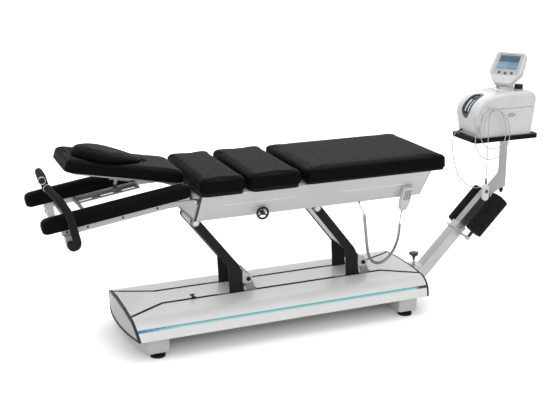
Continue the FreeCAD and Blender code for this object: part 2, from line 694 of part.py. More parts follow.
def make_arm(name, plates_name, x, upper_gap, with_crank):
    half = ARM_HALF_SPACING
    upper = (x + ARM_DX, LOWER_PIVOT_Z + ARM_DZ)
    y_rib = (half - ARM_RIB, half)
    rib = joined(arm_foot(x, 5.0, y_rib), arm_strip(x, ARM_WIDTH / 2 - 5.0, y_rib))
    gusset = [(0.0, ARM_BOSS_RADIUS), (ARM_BEND[0] + 30.0, ARM_BEND[1] - 14.0),
              (ARM_FOOT_RIGHT - 40.0, -20.0),
              (0.0, -ARM_BOSS_RADIUS)]
    rib = joined(rib, side_plate([(x + px, LOWER_PIVOT_Z + pz) for px, pz in gusset], y_rib),
                 across(x, LOWER_PIVOT_Z, ARM_BOSS_RADIUS, y_rib))

    bend = V(ARM_BEND[0], 0, ARM_BEND[1])
    top = V(ARM_DX, 0, ARM_DZ)
    along = unit_vector(top.sub(bend))
    aside = V(along.z, 0, -along.x)
    low_edge = bend.add(V(along).multiply(30.0)).sub(V(aside).multiply(ARM_WIDTH / 2 - 5.0))
    high_edge = top.sub(V(along).multiply(UPPER_SHAFT_RADIUS)).sub(V(aside).multiply(ARM_WIDTH / 2 - 5.0))
    thick = V(aside).multiply(6.0)
    web_points = [low_edge, high_edge, high_edge.add(thick), low_edge.add(thick)]
    web = side_plate([(x + p.x, LOWER_PIVOT_Z + p.z) for p in web_points], (-half, half))

    pieces = both_sides(rib)
    pieces.append(web)
    pieces.append(across(x, LOWER_PIVOT_Z, TORQUE_SHAFT_RADIUS, (-half + ARM_RIB, half - ARM_RIB)))
    between = (-half + ARM_RIB, half - ARM_RIB)
    pieces.append(across(x + ARM_BEND[0], LOWER_PIVOT_Z + ARM_BEND[1], 16.0, between))
    pieces.append(across(upper[0], upper[1], UPPER_SHAFT_RADIUS + 7.0, (-half + ARM_RIB, half - ARM_RIB)))
    if with_crank:
        pin = crank_pin(x)
        for y in ((14.0, CRANK_HALF), (-CRANK_HALF, -14.0)):
            hub = across(x, LOWER_PIVOT_Z, ARM_BOSS_RADIUS, y)
            tip = across(pin[0], pin[1], 2 * CRANK_PIN_RADIUS, y)
            angle = math.radians(CRANK_ANGLE)
            side = V(-math.sin(angle), 0, math.cos(angle)).multiply(2 * CRANK_PIN_RADIUS)
            lever = side_plate([(x + side.x, LOWER_PIVOT_Z + side.z), (pin[0] + side.x, pin[1] + side.z),
                                (pin[0] - side.x, pin[1] - side.z), (x - side.x, LOWER_PIVOT_Z - side.z)], y)
            pieces += [hub, tip, lever]
        pieces.append(across(pin[0], pin[1], CRANK_PIN_RADIUS, (-14.0, 14.0)))
    arm = joined(pieces[0], *pieces[1:])
    bore = UPPER_SHAFT_RADIUS + upper_gap
    arm = arm.cut(across(upper[0], upper[1], bore, (-half - 1.0, half + 1.0)))
    save(name, arm)

    y_plate = (half, half + ARM_PLATE)
    plate = joined(arm_foot(x, 0, y_plate), arm_strip(x, ARM_WIDTH / 2, y_plate))
    plate = plate.cut(across(upper[0], upper[1], UPPER_SHAFT_RADIUS + OPEN_PIVOT_GAP, (0, 2 * half)))
    cap = across(x, LOWER_PIVOT_Z, 12.0, (half, half + 6.0))
    save(plates_name, *(both_sides(plate) + both_sides(cap)))


def make_lift_drive():
    pin = crank_pin(HEAD_PIVOT_X)
    axis_z = LOWER_PIVOT_Z - CRANK_RADIUS * (1 + math.sin(math.radians(CRANK_ANGLE - 180))) / 2
    eye = across(pin[0], pin[1], 2 * CRANK_PIN_RADIUS, (-13.0, 13.0))
    shank = rod(V(pin[0], 0, pin[1]), V(pin[0] + ROD_LENGTH, 0, pin[1]), ROD_RADIUS)
    eye = joined(eye, shank).cut(across(pin[0], pin[1], CRANK_PIN_RADIUS + RUNNING_FIT, (-14.0, 14.0)))
    save("lift_rod", eye)

    mouth = HEAD_PIVOT_X + ACTUATOR_MOUTH_OUT
    back = ACTUATOR_REST_X - GEARBOX_LENGTH / 2
    tube = rod(V(mouth, 0, axis_z), V(back + 1.0, 0, axis_z), ACTUATOR_BORE + ACTUATOR_WALL)
    tube = tube.cut(rod(V(mouth, 0, axis_z), V(back - 20.0, 0, axis_z), ACTUATOR_BORE))
    gearbox = box((back, back + GEARBOX_LENGTH), (-GEARBOX_HALF_WIDTH, GEARBOX_HALF_WIDTH),
                  (CHASSIS_TOP, COVER_TOP - SKIN - GEARBOX_HEADROOM))
    gearbox = rounded(gearbox, 8.0, is_upright)
    motor_z = CHASSIS_TOP + LIFT_MOTOR_RADIUS + 1.0
    motor = rod(V(ACTUATOR_REST_X, GEARBOX_HALF_WIDTH, motor_z),
                V(ACTUATOR_REST_X, GEARBOX_HALF_WIDTH + LIFT_MOTOR_LENGTH, motor_z), LIFT_MOTOR_RADIUS)
    start = -FOOT_X - CHASSIS_TUBE_WIDTH / 4
    control = box((start, start + CONTROL_BOX_LENGTH), (-CONTROL_BOX_HALF_WIDTH, CONTROL_BOX_HALF_WIDTH),
                  (CHASSIS_TOP, COVER_TOP - SKIN - CONTROL_BOX_HEADROOM))
    save("lift_drive", joined(tube, gearbox, motor), rounded(control, 6.0, is_upright))


# Deck

def deck_outline(inset):
    """Trapezoid end outline of the deck, inset evenly, as (y, z) pairs."""
    slant = math.hypot(DECK_TOP_HALF - DECK_BOTTOM_HALF, DECK_DEPTH)
    lean = (DECK_TOP_HALF - DECK_BOTTOM_HALF) / DECK_DEPTH
    shift = inset * slant / DECK_DEPTH
    top = DECK_TOP_HALF - shift - inset * lean
    bottom = DECK_BOTTOM_HALF - shift + inset * lean
    return [(-top, DECK_TOP - inset), (top, DECK_TOP - inset), (bottom, DECK_BOTTOM + inset),
            (-bottom, DECK_BOTTOM + inset)]


def rail_y(z):
    return DECK_BOTTOM_HALF + (z - DECK_BOTTOM) * (DECK_TOP_HALF - DECK_BOTTOM_HALF) / DECK_DEPTH


def make_rails():
    x = (DECK_X0 + GASKET_DEPTH, DECK_X1 - GASKET_DEPTH)
    outer = deck_outline(0)
    inner = deck_outline(DECK_SHEET)
    top_in = DECK_TOP_HALF - DECK_TOP_FLANGE
    bottom_in = DECK_BOTTOM_HALF - DECK_BOTTOM_FLANGE
    section = [(top_in, DECK_TOP), outer[1], outer[2], (bottom_in, DECK_BOTTOM),
               (bottom_in, DECK_BOTTOM + DECK_SHEET), inner[2], inner[1], (top_in, DECK_TOP - DECK_SHEET)]
    rail = cross_plate(section, x)
    z = DECK_TOP - GROOVE_DROP
    slope = math.degrees(math.atan2(DECK_TOP_HALF - DECK_BOTTOM_HALF, DECK_DEPTH))
    for start, end in GROOVES:
        y = rail_y(z)
        height = (z - GROOVE_WIDTH / 2, z + GROOVE_WIDTH / 2)
        groove = box((start, end), (y - GROOVE_DEPTH, y + DECK_SHEET), height)
        groove = groove.rotate(V(0, y, z), V(1, 0, 0), -slope)
        rail = rail.cut(groove)
    left = rail
    right = mirrored(rail).cut(across(WHEEL_X, WHEEL_Z, WHEEL_STEM_RADIUS + RUNNING_FIT, (-DECK_TOP_HALF, 0)))
    save("side_rails", left, right)


GROOVES = ((DECK_X0 + 137.0, DECK_X0 + 555.0), (DECK_X1 - 538.0, DECK_X1 - 123.0))
WHEEL_X = DECK_X0 + 366.0
WHEEL_Z = DECK_BOTTOM + 21.0
WHEEL_Y = -rail_y(WHEEL_Z) - 40.0
WHEEL_RADIUS = 30.0
WHEEL_STEM_RADIUS = 6.0
LOCK_BAR_Y = (-DECK_BOTTOM_HALF + 4.0, -DECK_BOTTOM_HALF + 12.0)


def pendant_place(shape):
    """Lean the upright handset against the right rail and hang it in place."""
    shape.rotate(V(0, 0, 0), V(1, 0, 0), PENDANT_LEAN)
    z = DECK_BOTTOM + PENDANT_RISE
    shape.translate(V(DECK_X1 - PENDANT_FROM_END, -rail_y(z) - PENDANT_OUT, z))
    return shape


def make_deck_trim():
    """Black pieces on the deck: end gaskets, the handset bracket and the gland of its cord."""
    ring = cross_plate(deck_outline(0), (DECK_X0, DECK_X0 + GASKET_DEPTH))
    hole = cross_plate(deck_outline(GASKET_WIDTH), (DECK_X0 - 1.0, DECK_X0 + GASKET_DEPTH + 1.0))
    head = ring.cut(hole)
    foot = head.copy()
    foot.translate(V(DECK_LENGTH - GASKET_DEPTH, 0, 0))

    back = PENDANT_THICKNESS / 2
    bracket = box((-14.0, 14.0), (back, back + 60.0), (30.0, 66.0))
    bracket = pendant_place(bracket)
    z = DECK_TOP + 40.0
    keep = [(-rail_y(DECK_BOTTOM), DECK_BOTTOM), (-rail_y(z), z), (-rail_y(z) - 200.0, z),
            (-rail_y(DECK_BOTTOM) - 200.0, DECK_BOTTOM)]
    bracket = bracket.common(cross_plate(keep, (DECK_X0, DECK_X1)))
    gland = upright_rod(GLAND[0], GLAND[1], 7.0, (DECK_BOTTOM - 12.0, DECK_BOTTOM))
    save("deck_trim", head, foot, bracket.Solids[0], gland)

    cap = cross_plate(deck_outline(GASKET_WIDTH), (DECK_X0 + 1.5, DECK_X0 + 1.5 + END_CAP_THICKNESS))
    other = cap.copy()
    other.translate(V(DECK_LENGTH - END_CAP_THICKNESS - 3.0, 0, 0))
    save("deck_end_caps", cap, other)


GLAND = (DECK_X0 + 978.0, -DECK_BOTTOM_HALF + 21.0)


def hinge_bracket(hinge_z, y, low):
    """An ear bolted to the head-end cap of the deck that holds a hinge pin."""
    face = DECK_X0
    points = [(face, low), (face - 7.0, low), (HINGE_X - 11.0, hinge_z), (HINGE_X, hinge_z + 11.0),
              (face, min(hinge_z + 11.0, DECK_TOP))]
    ear = joined(side_plate(points, y), across(HINGE_X, hinge_z, 12.0, y))
    return ear.cut(across(HINGE_X, hinge_z, HINGE_PIN_RADIUS, (y[0] - 1.0, y[1] + 1.0)))


def make_deck_frame():
    z = (DECK_TOP - DECK_SHEET - CROSS_TUBE_HEIGHT, DECK_TOP - DECK_SHEET)
    solids = []
    for x in ARM_PIVOTS:
        pivot = x + ARM_DX
        tube = box((pivot, pivot + CROSS_TUBE_WIDTH), (-CROSS_TUBE_HALF, CROSS_TUBE_HALF), z)
        y = (ARM_HALF_SPACING + ARM_PLATE + 3.0, ARM_HALF_SPACING + ARM_PLATE + 13.0)
        neck = [(pivot - 14.0, UPPER_PIVOT_Z), (pivot - 6.0, z[0] + 10.0),
                (pivot + CROSS_TUBE_WIDTH, z[0] + 10.0), (pivot + UPPER_LUG_RADIUS, UPPER_PIVOT_Z)]
        lug = joined(side_plate(neck, y), across(pivot, UPPER_PIVOT_Z, UPPER_LUG_RADIUS, y))
        lug = lug.cut(across(pivot, UPPER_PIVOT_Z, UPPER_SHAFT_RADIUS, (0, 2 * y[1])))
        lugs = both_sides(lug)
        solids.append(joined(tube, *lugs))
    for x in (DECK_X0 + 410.0, DECK_X1 - 90.0):
        solids.append(box((x, x + CROSS_TUBE_WIDTH), (-CROSS_TUBE_HALF, CROSS_TUBE_HALF), z))
    half = GLIDE_BAR_WIDTH / 2
    glide = box((LUMBAR_X0 - 10.0, DECK_X1 - GASKET_DEPTH), (GLIDE_BAR_Y - half, GLIDE_BAR_Y + half),
                (DECK_TOP, DECK_TOP + GLIDE_BAR_HEIGHT))
    solids += both_sides(glide)
    solids += both_sides(hinge_bracket(HEAD_HINGE_Z, HEAD_EAR_Y, DECK_TOP - 60.0))
    solids += both_sides(hinge_bracket(ARMREST_HINGE_Z, ARMREST_EAR_Y, DECK_TOP - 52.0))
    save("deck_frame", *solids)

    pins = []
    reach = ARM_HALF_SPACING + ARM_PLATE + 13.0
    for x in ARM_PIVOTS:
        pivot = x + ARM_DX
        shaft = across(pivot, UPPER_PIVOT_Z, UPPER_SHAFT_RADIUS, (-reach, reach))
        heads = both_sides(across(pivot, UPPER_PIVOT_Z, UPPER_SHAFT_RADIUS + 3.0, (reach, reach + 5.0)))
        pins.append(joined(shaft, *heads))
    head_reach = HEAD_EAR_Y[1] + 2.0
    pins.append(across(HINGE_X, HEAD_HINGE_Z, HINGE_PIN_RADIUS, (-head_reach, head_reach)))
    arm_pin = across(HINGE_X, ARMREST_HINGE_Z, HINGE_PIN_RADIUS, (ARMREST_EAR_Y[0], ARMREST_Y + 7.0))
    pins += both_sides(arm_pin)
    save("deck_pins", *pins)


HEAD_EAR_Y = (128.0, 140.0)
ARMREST_EAR_Y = (234.0, 246.0)


# Cushions and their boards

def make_cushions():
    half = CUSHION_WIDTH / 2
    y = (-half, half)
    y_board = (-half + BOARD_INSET, half - BOARD_INSET)
    spans = {
        "upper": (CUSHION_X0, CUSHION_X0 + UPPER_THORACIC_LENGTH),
        "lower": (LOWER_THORACIC_X0, LOWER_THORACIC_X0 + LOWER_THORACIC_LENGTH),
        "lumbar": (LUMBAR_X0, LUMBAR_X0 + LUMBAR_LENGTH),
    }
    z = (CUSHION_BOTTOM, CUSHION_TOP)
    soft = {name: pad(span, y, z, CUSHION_CORNER, CUSHION_CROWN, 6.0) for name, span in spans.items()}
    save("thoracic_cushions", soft["upper"], soft["lower"])
    save("lumbar_cushion", soft["lumbar"])

    boards = []
    for name in ("upper", "lower"):
        span = spans[name]
        board = box((span[0] + BOARD_INSET, span[1] - BOARD_INSET), y_board, (DECK_TOP, BOARD_TOP))
        boards.append(rounded(board, CUSHION_CORNER - BOARD_INSET, is_upright))
    save("cushion_boards", *boards)

    span = spans["lumbar"]
    low = DECK_TOP + GLIDE_BAR_HEIGHT + SOFT_GAP
    board = box((span[0] + BOARD_INSET, span[1] - BOARD_INSET), y_board, (low, BOARD_TOP))
    board = rounded(board, CUSHION_CORNER - BOARD_INSET, is_upright)
    guide_y = GLIDE_BAR_Y + GLIDE_BAR_WIDTH / 2 + SOFT_GAP
    pieces = []
    for x in (span[0] + 60.0, span[0] + 560.0):
        pieces += both_sides(box((x, x + 70.0), (guide_y, guide_y + 16.0), (DECK_TOP + SOFT_GAP, low + 1.0)))
    hanger_x = (span[0] + BOARD_INSET, span[0] + BOARD_INSET + 20.0)
    lock_z = (WHEEL_Z - 14.0, WHEEL_Z + 14.0)
    pieces.append(box(hanger_x, LOCK_BAR_Y, (lock_z[0], low + 1.0)))
    pieces.append(box((WHEEL_X - 150.0, hanger_x[1]), LOCK_BAR_Y, lock_z))
    save("lumbar_carriage", joined(board, *pieces))


def make_lock_wheel():
    centre = V(WHEEL_X, WHEEL_Y, WHEEL_Z)
    rim = Part.makeTorus(WHEEL_RADIUS, 5.5, centre, V(0, 1, 0))
    hub = across(WHEEL_X, WHEEL_Z, 11.0, (WHEEL_Y - 6.0, WHEEL_Y + 12.0))
    stem = across(WHEEL_X, WHEEL_Z, WHEEL_STEM_RADIUS, (WHEEL_Y, LOCK_BAR_Y[0] - SOFT_GAP))
    pieces = [hub, stem]
    for k in range(3):
        angle = math.radians(90 + 120 * k)
        tip = centre.add(V(WHEEL_RADIUS * math.cos(angle), 0, WHEEL_RADIUS * math.sin(angle)))
        pieces.append(rod(centre, tip, 4.5))
    save("lock_wheel", joined(rim, *pieces))


# Head end

def tilt_head(shape):
    return shape.rotate(V(HINGE_X, 0, HEAD_HINGE_Z), V(0, 1, 0), HEAD_TILT)


def make_head():
    right = HINGE_X - HEAD_SETBACK
    left = right - HEAD_LENGTH
    half = HEAD_WIDTH / 2
    low = HEAD_HINGE_Z + HEAD_RISE
    high = low + HEAD_THICKNESS
    cushion = pad((left, right), (-half, half), (low, high), 48.0, 20.0, 8.0)
    save("head_cushion", tilt_head(cushion))

    back = left + PILLOW_SETBACK
    tip = back + PILLOW_LENGTH
    widest = back + 0.42 * PILLOW_LENGTH
    side = PILLOW_WIDTH / 2
    z = high + SOFT_GAP
    edges = [
        Part.Arc(V(tip, 0, z), V((tip + widest) / 2 + 10.0, side * 0.68, z), V(widest, side, z)).toShape(),
        Part.Arc(V(widest, side, z), V(back, 0, z), V(widest, -side, z)).toShape(),
        Part.Arc(V(widest, -side, z), V((tip + widest) / 2 + 10.0, -side * 0.68, z), V(tip, 0, z)).toShape(),
    ]
    pillow = Part.Face(Part.Wire(edges)).extrude(V(0, 0, PILLOW_HEIGHT))
    above = z + 2 * PILLOW_HEIGHT
    slope = [(back - 1.0, z + PILLOW_HEIGHT), (tip + 1.0, z + PILLOW_TIP_HEIGHT), (tip + 1.0, above),
             (back - 1.0, above)]
    pillow = pillow.cut(side_plate(slope, (-PILLOW_WIDTH, PILLOW_WIDTH)))
    pillow = rounded(pillow, PILLOW_EDGE, lambda e: e.BoundBox.ZMin > z + PILLOW_TIP_HEIGHT / 2)
    save("face_pillow", tilt_head(pillow))

    plate_top = low - SOFT_GAP
    plate = box((left + 40.0, right - 20.0), (-half + 30.0, half - 30.0), (plate_top - 8.0, plate_top))
    plate = rounded(plate, 40.0, is_upright)
    pieces = []
    knuckle_y = (HEAD_EAR_Y[0] - 27.0, HEAD_EAR_Y[0] - 1.0)
    arm_points = [(HINGE_X - 9.0, HEAD_HINGE_Z - 11.0), (HINGE_X + 4.0, HEAD_HINGE_Z + 11.0),
                  (right - 60.0, plate_top - 1.0), (right - 190.0, plate_top - 1.0)]
    arm = joined(side_plate(arm_points, knuckle_y), across(HINGE_X, HEAD_HINGE_Z, 12.0, knuckle_y))
    pieces += both_sides(arm)
    strut = side_plate([(left + 250.0, plate_top - 7.0), (left + 400.0, plate_top - 7.0),
                        (left + 380.0, plate_top - 46.0), (left + 270.0, plate_top - 46.0)], (-30.0, -22.0))
    pieces.append(strut)
    frame = joined(plate, *pieces)
    frame = frame.cut(across(HINGE_X, HEAD_HINGE_Z, HINGE_PIN_RADIUS + RUNNING_FIT, (-half, half)))
    lever_at = (left + 300.0, plate_top - 28.0)
    frame = frame.cut(across(lever_at[0], lever_at[1], 5.0 + RUNNING_FIT, (-half, half)))
    save("head_frame", tilt_head(frame))

    axle = across(lever_at[0], lever_at[1], 5.0, (-56.0, -18.0))
    bar = side_plate([(lever_at[0] - 7.0, lever_at[1] + 7.0), (lever_at[0] + 7.0, lever_at[1] + 7.0),
                      (lever_at[0] + 7.0, lever_at[1] - 52.0),
                      (lever_at[0] - 7.0, lever_at[1] - 52.0)], (-44.0, -36.0))
    knob = Part.makeSphere(11.0, V(lever_at[0], -40.0, lever_at[1] - 56.0))
    stop = across(lever_at[0], lever_at[1], 8.0, (-21.5, -18.0))
    save("head_lever", tilt_head(joined(axle, bar, knob, stop)))


# Armrests

def slope_armrest(shape):
    return shape.rotate(V(HINGE_X, 0, ARMREST_HINGE_Z), V(0, 1, 0), -ARMREST_SLOPE)


def make_armrests():
    right = HINGE_X - ARMREST_SETBACK
    left = right - ARMREST_LENGTH
    half = ARMREST_WIDTH / 2
    low = ARMREST_HINGE_Z + ARMREST_RISE
    cushion = pad((left, right), (ARMREST_Y - half, ARMREST_Y + half),
                  (low + SOFT_GAP, low + ARMREST_THICKNESS),
                  34.0, 24.0, 16.0)
    save("armrest_pads", *[slope_armrest(p) for p in both_sides(cushion)])

    rail_half = ARMREST_RAIL_WIDTH / 2
    rail_x = (HINGE_X - ARMREST_RAIL_TO, HINGE_X - ARMREST_RAIL_FROM)
    rail_z = (low - ARMREST_RAIL_HEIGHT, low)
    rail = box(rail_x, (ARMREST_Y - rail_half, ARMREST_Y + rail_half), rail_z)
    tongue_y = (ARMREST_EAR_Y[1] + 1.0, ARMREST_EAR_Y[1] + 13.0)
    tongue = side_plate([(rail_x[1] - 20.0, rail_z[0]), (rail_x[1] - 20.0, rail_z[1]),
                         (HINGE_X, ARMREST_HINGE_Z + 12.0), (HINGE_X, ARMREST_HINGE_Z - 12.0)], tongue_y)
    knuckle = across(HINGE_X, ARMREST_HINGE_Z, 12.0, tongue_y)
    socket = box((rail_x[0] + 8.0, rail_x[0] + 46.0), (ARMREST_Y - 14.0, GRIP_SOCKET_Y),
                 (rail_z[0] - 60.0, rail_z[0] + 1.0))
    side = joined(rail, tongue, knuckle, socket)
    pieces = both_sides(side)
    inner_y = ARMREST_Y - rail_half + 1.0
    for x in (rail_x[0] + 60.0, rail_x[0] + 165.0):
        pieces.append(across(x, rail_z[0] + 15.0, 10.0, (-inner_y, inner_y)))
    plate_x = (rail_x[0] + 155.0, rail_x[1] - 25.0)
    plate_z = rail_z[0] + 3.0
    plate = box(plate_x, (INNER_PLATE_Y, inner_y + 2.0), (plate_z, plate_z + INNER_PLATE_THICKNESS))
    plate = rounded(plate, 8.0, lambda e: is_upright(e) and e.BoundBox.YMin < INNER_PLATE_Y + 1.0)
    slot_y = (INNER_PLATE_Y + INNER_PLATE_SLOT, INNER_PLATE_Y + 2 * INNER_PLATE_SLOT)
    pitch = (plate_x[1] - plate_x[0]) / 3
    for k in range(3):
        middle = plate_x[0] + (k + 0.5) * pitch
        slot = box((middle - pitch / 3, middle + pitch / 3), slot_y, (rail_z[0] - 1.0, rail_z[1]))
        plate = plate.cut(rounded(slot, INNER_PLATE_SLOT / 2 - 1.0, is_upright))
    pieces += both_sides(plate)
    frame = joined(pieces[0], *pieces[1:])
    bore = HINGE_PIN_RADIUS + RUNNING_FIT
    frame = frame.cut(across(HINGE_X, ARMREST_HINGE_Z, bore, (-2 * ARMREST_Y, 2 * ARMREST_Y)))
    save("armrest_frame", slope_armrest(frame))

    socket_at = V(rail_x[0] + 27.0, GRIP_SOCKET_Y, rail_z[0] - 43.0)
    points = [socket_at] + [socket_at.add(V(*step)) for step in GRIP_STEPS]
    path, radii = route(points, GRIP_BENDS)
    print("hand grip radii", [round(r) for r in radii])
    grip = pipe(path, points, GRIP_RADIUS)
    save("hand_grips", *[slope_armrest(g) for g in both_sides(grip)])


GRIP_SOCKET_Y = ARMREST_Y + 40.0


# Mast, modelled along X from its foot and then inclined

def incline(shape):
    shape.rotate(V(0, 0, 0), V(0, 1, 0), -MAST_ANGLE)
    shape.translate(MAST_FOOT)
    return shape


def along_mast(distance, rise):
    angle = math.radians(MAST_ANGLE)
    x = MAST_FOOT.x + distance * math.cos(angle) - rise * math.sin(angle)
    z = MAST_FOOT.z + distance * math.sin(angle) + rise * math.cos(angle)
    return x, z


def square_bar(x, half):
    return box(x, (-half, half), (-half, half))


def make_mast():
    half = MAST_OUTER / 2
    slide = MAST_INNER / 2
    outer = rounded(square_bar((-12.0, MAST_OUTER_LENGTH), half), 6.0, lambda e: abs(e.tangentAt(0).x) > 0.99)
    bore = square_bar((30.0, MAST_OUTER_LENGTH + 1.0), half - MAST_WALL)
    outer = incline(outer)
    x = (FOOT_X - 20.0, MAST_FOOT.x + 6.0)
    bracket = box(x, (-MAST_BRACKET_HALF, MAST_BRACKET_HALF), (CHASSIS_TOP, MAST_BRACKET_TOP))
    outer = joined(outer, rounded(bracket, 10.0, is_upright)).cut(incline(bore))
    knob_x = MAST_FOOT.x - 36.0
    outer = outer.cut(upright_rod(knob_x, 0, KNOB_STEM + RUNNING_FIT, (MAST_BRACKET_TOP - 20.0, COVER_TOP)))
    save("mast_outer_tube", outer)

    handle_z = MAST_BRACKET_TOP + CLAMP_KNOB_HEIGHT
    stem = upright_rod(knob_x, 0, KNOB_STEM, (MAST_BRACKET_TOP - 18.0, handle_z))
    low = handle_z - CLAMP_KNOB_THICKNESS / 2
    high = handle_z + CLAMP_KNOB_THICKNESS / 2
    star = upright_rod(knob_x, 0, CLAMP_KNOB_RADIUS - CLAMP_LOBE_RADIUS, (low, high))
    for k in range(5):
        angle = math.radians(72 * k)
        reach = CLAMP_KNOB_RADIUS - CLAMP_LOBE_RADIUS
        lobe_x = knob_x + reach * math.cos(angle)
        lobe = upright_rod(lobe_x, reach * math.sin(angle), CLAMP_LOBE_RADIUS, (low, high))
        lobe = rounded(lobe, 3.0, lambda e: is_level_at(e, high) or is_level_at(e, low))
        star = joined(star, lobe)
    neck = Part.makeCone(10.0, 13.0, 24.0, V(knob_x, 0, handle_z - 24.0), V(0, 0, 1))
    seat = upright_rod(knob_x, 0, KNOB_STEM + 4.0, (MAST_BRACKET_TOP + SOFT_GAP, MAST_BRACKET_TOP + 5.0))
    save("mast_clamp_knob", joined(stem, star, neck, seat))

    start = MAST_OUTER_LENGTH
    plate = box((start, start + 8.0), (-half - 12.0, half + 12.0), (-half - 12.0, half + 12.0))
    wing_half = ROLLER_Y + 14.0
    wings = box((start, start + 8.0), (-wing_half, wing_half), (-ROLLER_DROP - 13.0, -ROLLER_DROP + 13.0))
    sleeve = square_bar((start, start + 48.0), slide + 8.0)
    fork = joined(plate, wings, sleeve)
    fork = fork.cut(square_bar((start - 1.0, start + 60.0), slide + SOFT_GAP))
    roller_from = start + 52.0
    spindle_end = roller_from + ROLLER_LENGTH + 10.0
    for y in (-ROLLER_Y, ROLLER_Y):
        low = V(start - 10.0, y, -ROLLER_DROP)
        spindle = rod(low, V(spindle_end, y, -ROLLER_DROP), SPINDLE_RADIUS)
        nut = rod(low, V(start + 1.0, y, -ROLLER_DROP), SPINDLE_RADIUS + 5.0)
        end = V(roller_from - SOFT_GAP, y, -ROLLER_DROP)
        shoulder = rod(V(start, y, -ROLLER_DROP), end, SPINDLE_RADIUS + 3.0)
        keeper = rod(V(roller_from + ROLLER_LENGTH + SOFT_GAP, y, -ROLLER_DROP),
                     V(spindle_end, y, -ROLLER_DROP), SPINDLE_RADIUS + 6.0)
        fork = joined(fork, spindle, nut, shoulder, keeper)
    save("roller_fork", incline(fork))

    for name, y in (("right_roller", -ROLLER_Y), ("left_roller", ROLLER_Y)):
        ends = V(roller_from, y, -ROLLER_DROP), V(roller_from + ROLLER_LENGTH, y, -ROLLER_DROP)
        foam = rounded(rod(*ends, ROLLER_RADIUS), 7.0, lambda e: e.Closed)
        foam = foam.cut(rod(*ends, SPINDLE_RADIUS + RUNNING_FIT))
        save(name, incline(foam))

    inner = incline(square_bar((MAST_INNER_FROM, CRANK_FROM + 40.0), slide))
    post_half = POST_WIDTH / 2
    crank = [along_mast(CRANK_FROM, post_half), (POST_X - post_half - 3.0, POST_FOOT_Z + 84.0),
             (POST_X - post_half, POST_FOOT_Z + 110.0), (POST_X - post_half, POST_TOP),
             (POST_X + post_half, POST_TOP), (POST_X + post_half, POST_FOOT_Z),
             (POST_X - post_half + 8.0, POST_FOOT_Z - 5.0), (POST_X - post_half - 10.0, POST_FOOT_Z - 12.0),
             along_mast(CRANK_FROM, -post_half)]
    body = joined(inner, side_plate(crank, (-post_half, post_half)))
    body = body.cut(upright_rod(POST_X, 0, 5.0 + RUNNING_FIT, (POST_FOOT_Z - 20.0, POST_FOOT_Z + 30.0)))
    save("mast_inner_tube", body)

    screw = upright_rod(POST_X, 0, 5.0, (POST_FOOT_Z - 14.0, POST_FOOT_Z + 24.0))
    grip = Part.makeCone(9.0, 15.0, 26.0, V(POST_X, 0, POST_FOOT_Z - 38.0), V(0, 0, 1))
    save("post_knob", joined(screw, grip))

    half_width = TRAY_WIDTH / 2
    tray = pad((TRAY_X0, TRAY_X1), (-half_width, half_width), (POST_TOP, TRAY_TOP), TRAY_CORNER, 3.0, 3.0)
    save("tray", tray)


KNOB_STEM = 7.0
CLAMP_KNOB_HEIGHT = 68.0
CLAMP_KNOB_RADIUS = 29.0
CLAMP_KNOB_THICKNESS = 17.0
CLAMP_LOBE_RADIUS = 9.5
MAST_INNER_FROM = 150.0
CRANK_FROM = 600.0
POST_FOOT_Z = 617.0


# Traction unit

def unit_profile(inset):
    """Side profile of the traction unit: sloped front, round nose, long back."""
    corners = [V(TRAY_X0 + px, 0, TRAY_TOP + pz) for px, pz in UNIT_CORNERS]
    edges = []
    here = corners[0]
    for i in range(1, len(corners) - 1):
        reach = UNIT_REACHES[i - 1]
        start, middle, end, radius = corner_arc(corners[i - 1], corners[i], corners[i + 1], reach)
        edges.append(Part.LineSegment(here, start).toShape())
        edges.append(Part.Arc(start, middle, end).toShape())
        here = end
    edges.append(Part.LineSegment(here, corners[-1]).toShape())
    edges.append(Part.LineSegment(corners[-1], corners[0]).toShape())
    wire = Part.Wire(edges)
    return wire.makeOffset2D(-inset) if inset else wire


UNIT_CORNERS = ((36.0, 0.0), (4.0, 150.0), (60.0, 225.0), (190.0, 256.0), (445.0, 256.0), (416.0, 0.0))
UNIT_REACHES = (42.0, 46.0, 62.0, 62.0)


def unit_block(inset):
    half = UNIT_HALF_WIDTH - inset
    face = Part.Face(unit_profile(inset))
    face.translate(V(0, -half, 0))
    block = face.extrude(V(0, 2 * half, 0))

    def on_a_side(edge):
        return (is_side_at(edge, half) or is_side_at(edge, -half)) and not is_level_at(edge, TRAY_TOP + inset)

    return rounded(block, UNIT_EDGE - inset, on_a_side)


def nose_oval(half_length, half_width):
    """An oval prism through the sloping nose, for the pulley window."""
    slant = math.radians(NOSE_SLANT)
    centre = V(TRAY_X0 + NOSE_CENTRE[0], 0, TRAY_TOP + NOSE_CENTRE[1])
    along = V(math.cos(slant), 0, math.sin(slant))
    out = V(-math.sin(slant), 0, math.cos(slant))
    straight = half_length - half_width
    a = centre.add(V(along).multiply(straight)).sub(V(out).multiply(50.0))
    b = centre.sub(V(along).multiply(straight)).sub(V(out).multiply(50.0))
    side = V(0, half_width, 0)
    edges = [
        Part.LineSegment(b.add(side), a.add(side)).toShape(),
        Part.Arc(a.add(side), a.add(V(along).multiply(half_width)), a.sub(side)).toShape(),
        Part.LineSegment(a.sub(side), b.sub(side)).toShape(),
        Part.Arc(b.sub(side), b.sub(V(along).multiply(half_width)), b.add(side)).toShape(),
    ]
    return Part.Face(Part.Wire(edges)).extrude(V(out).multiply(120.0))


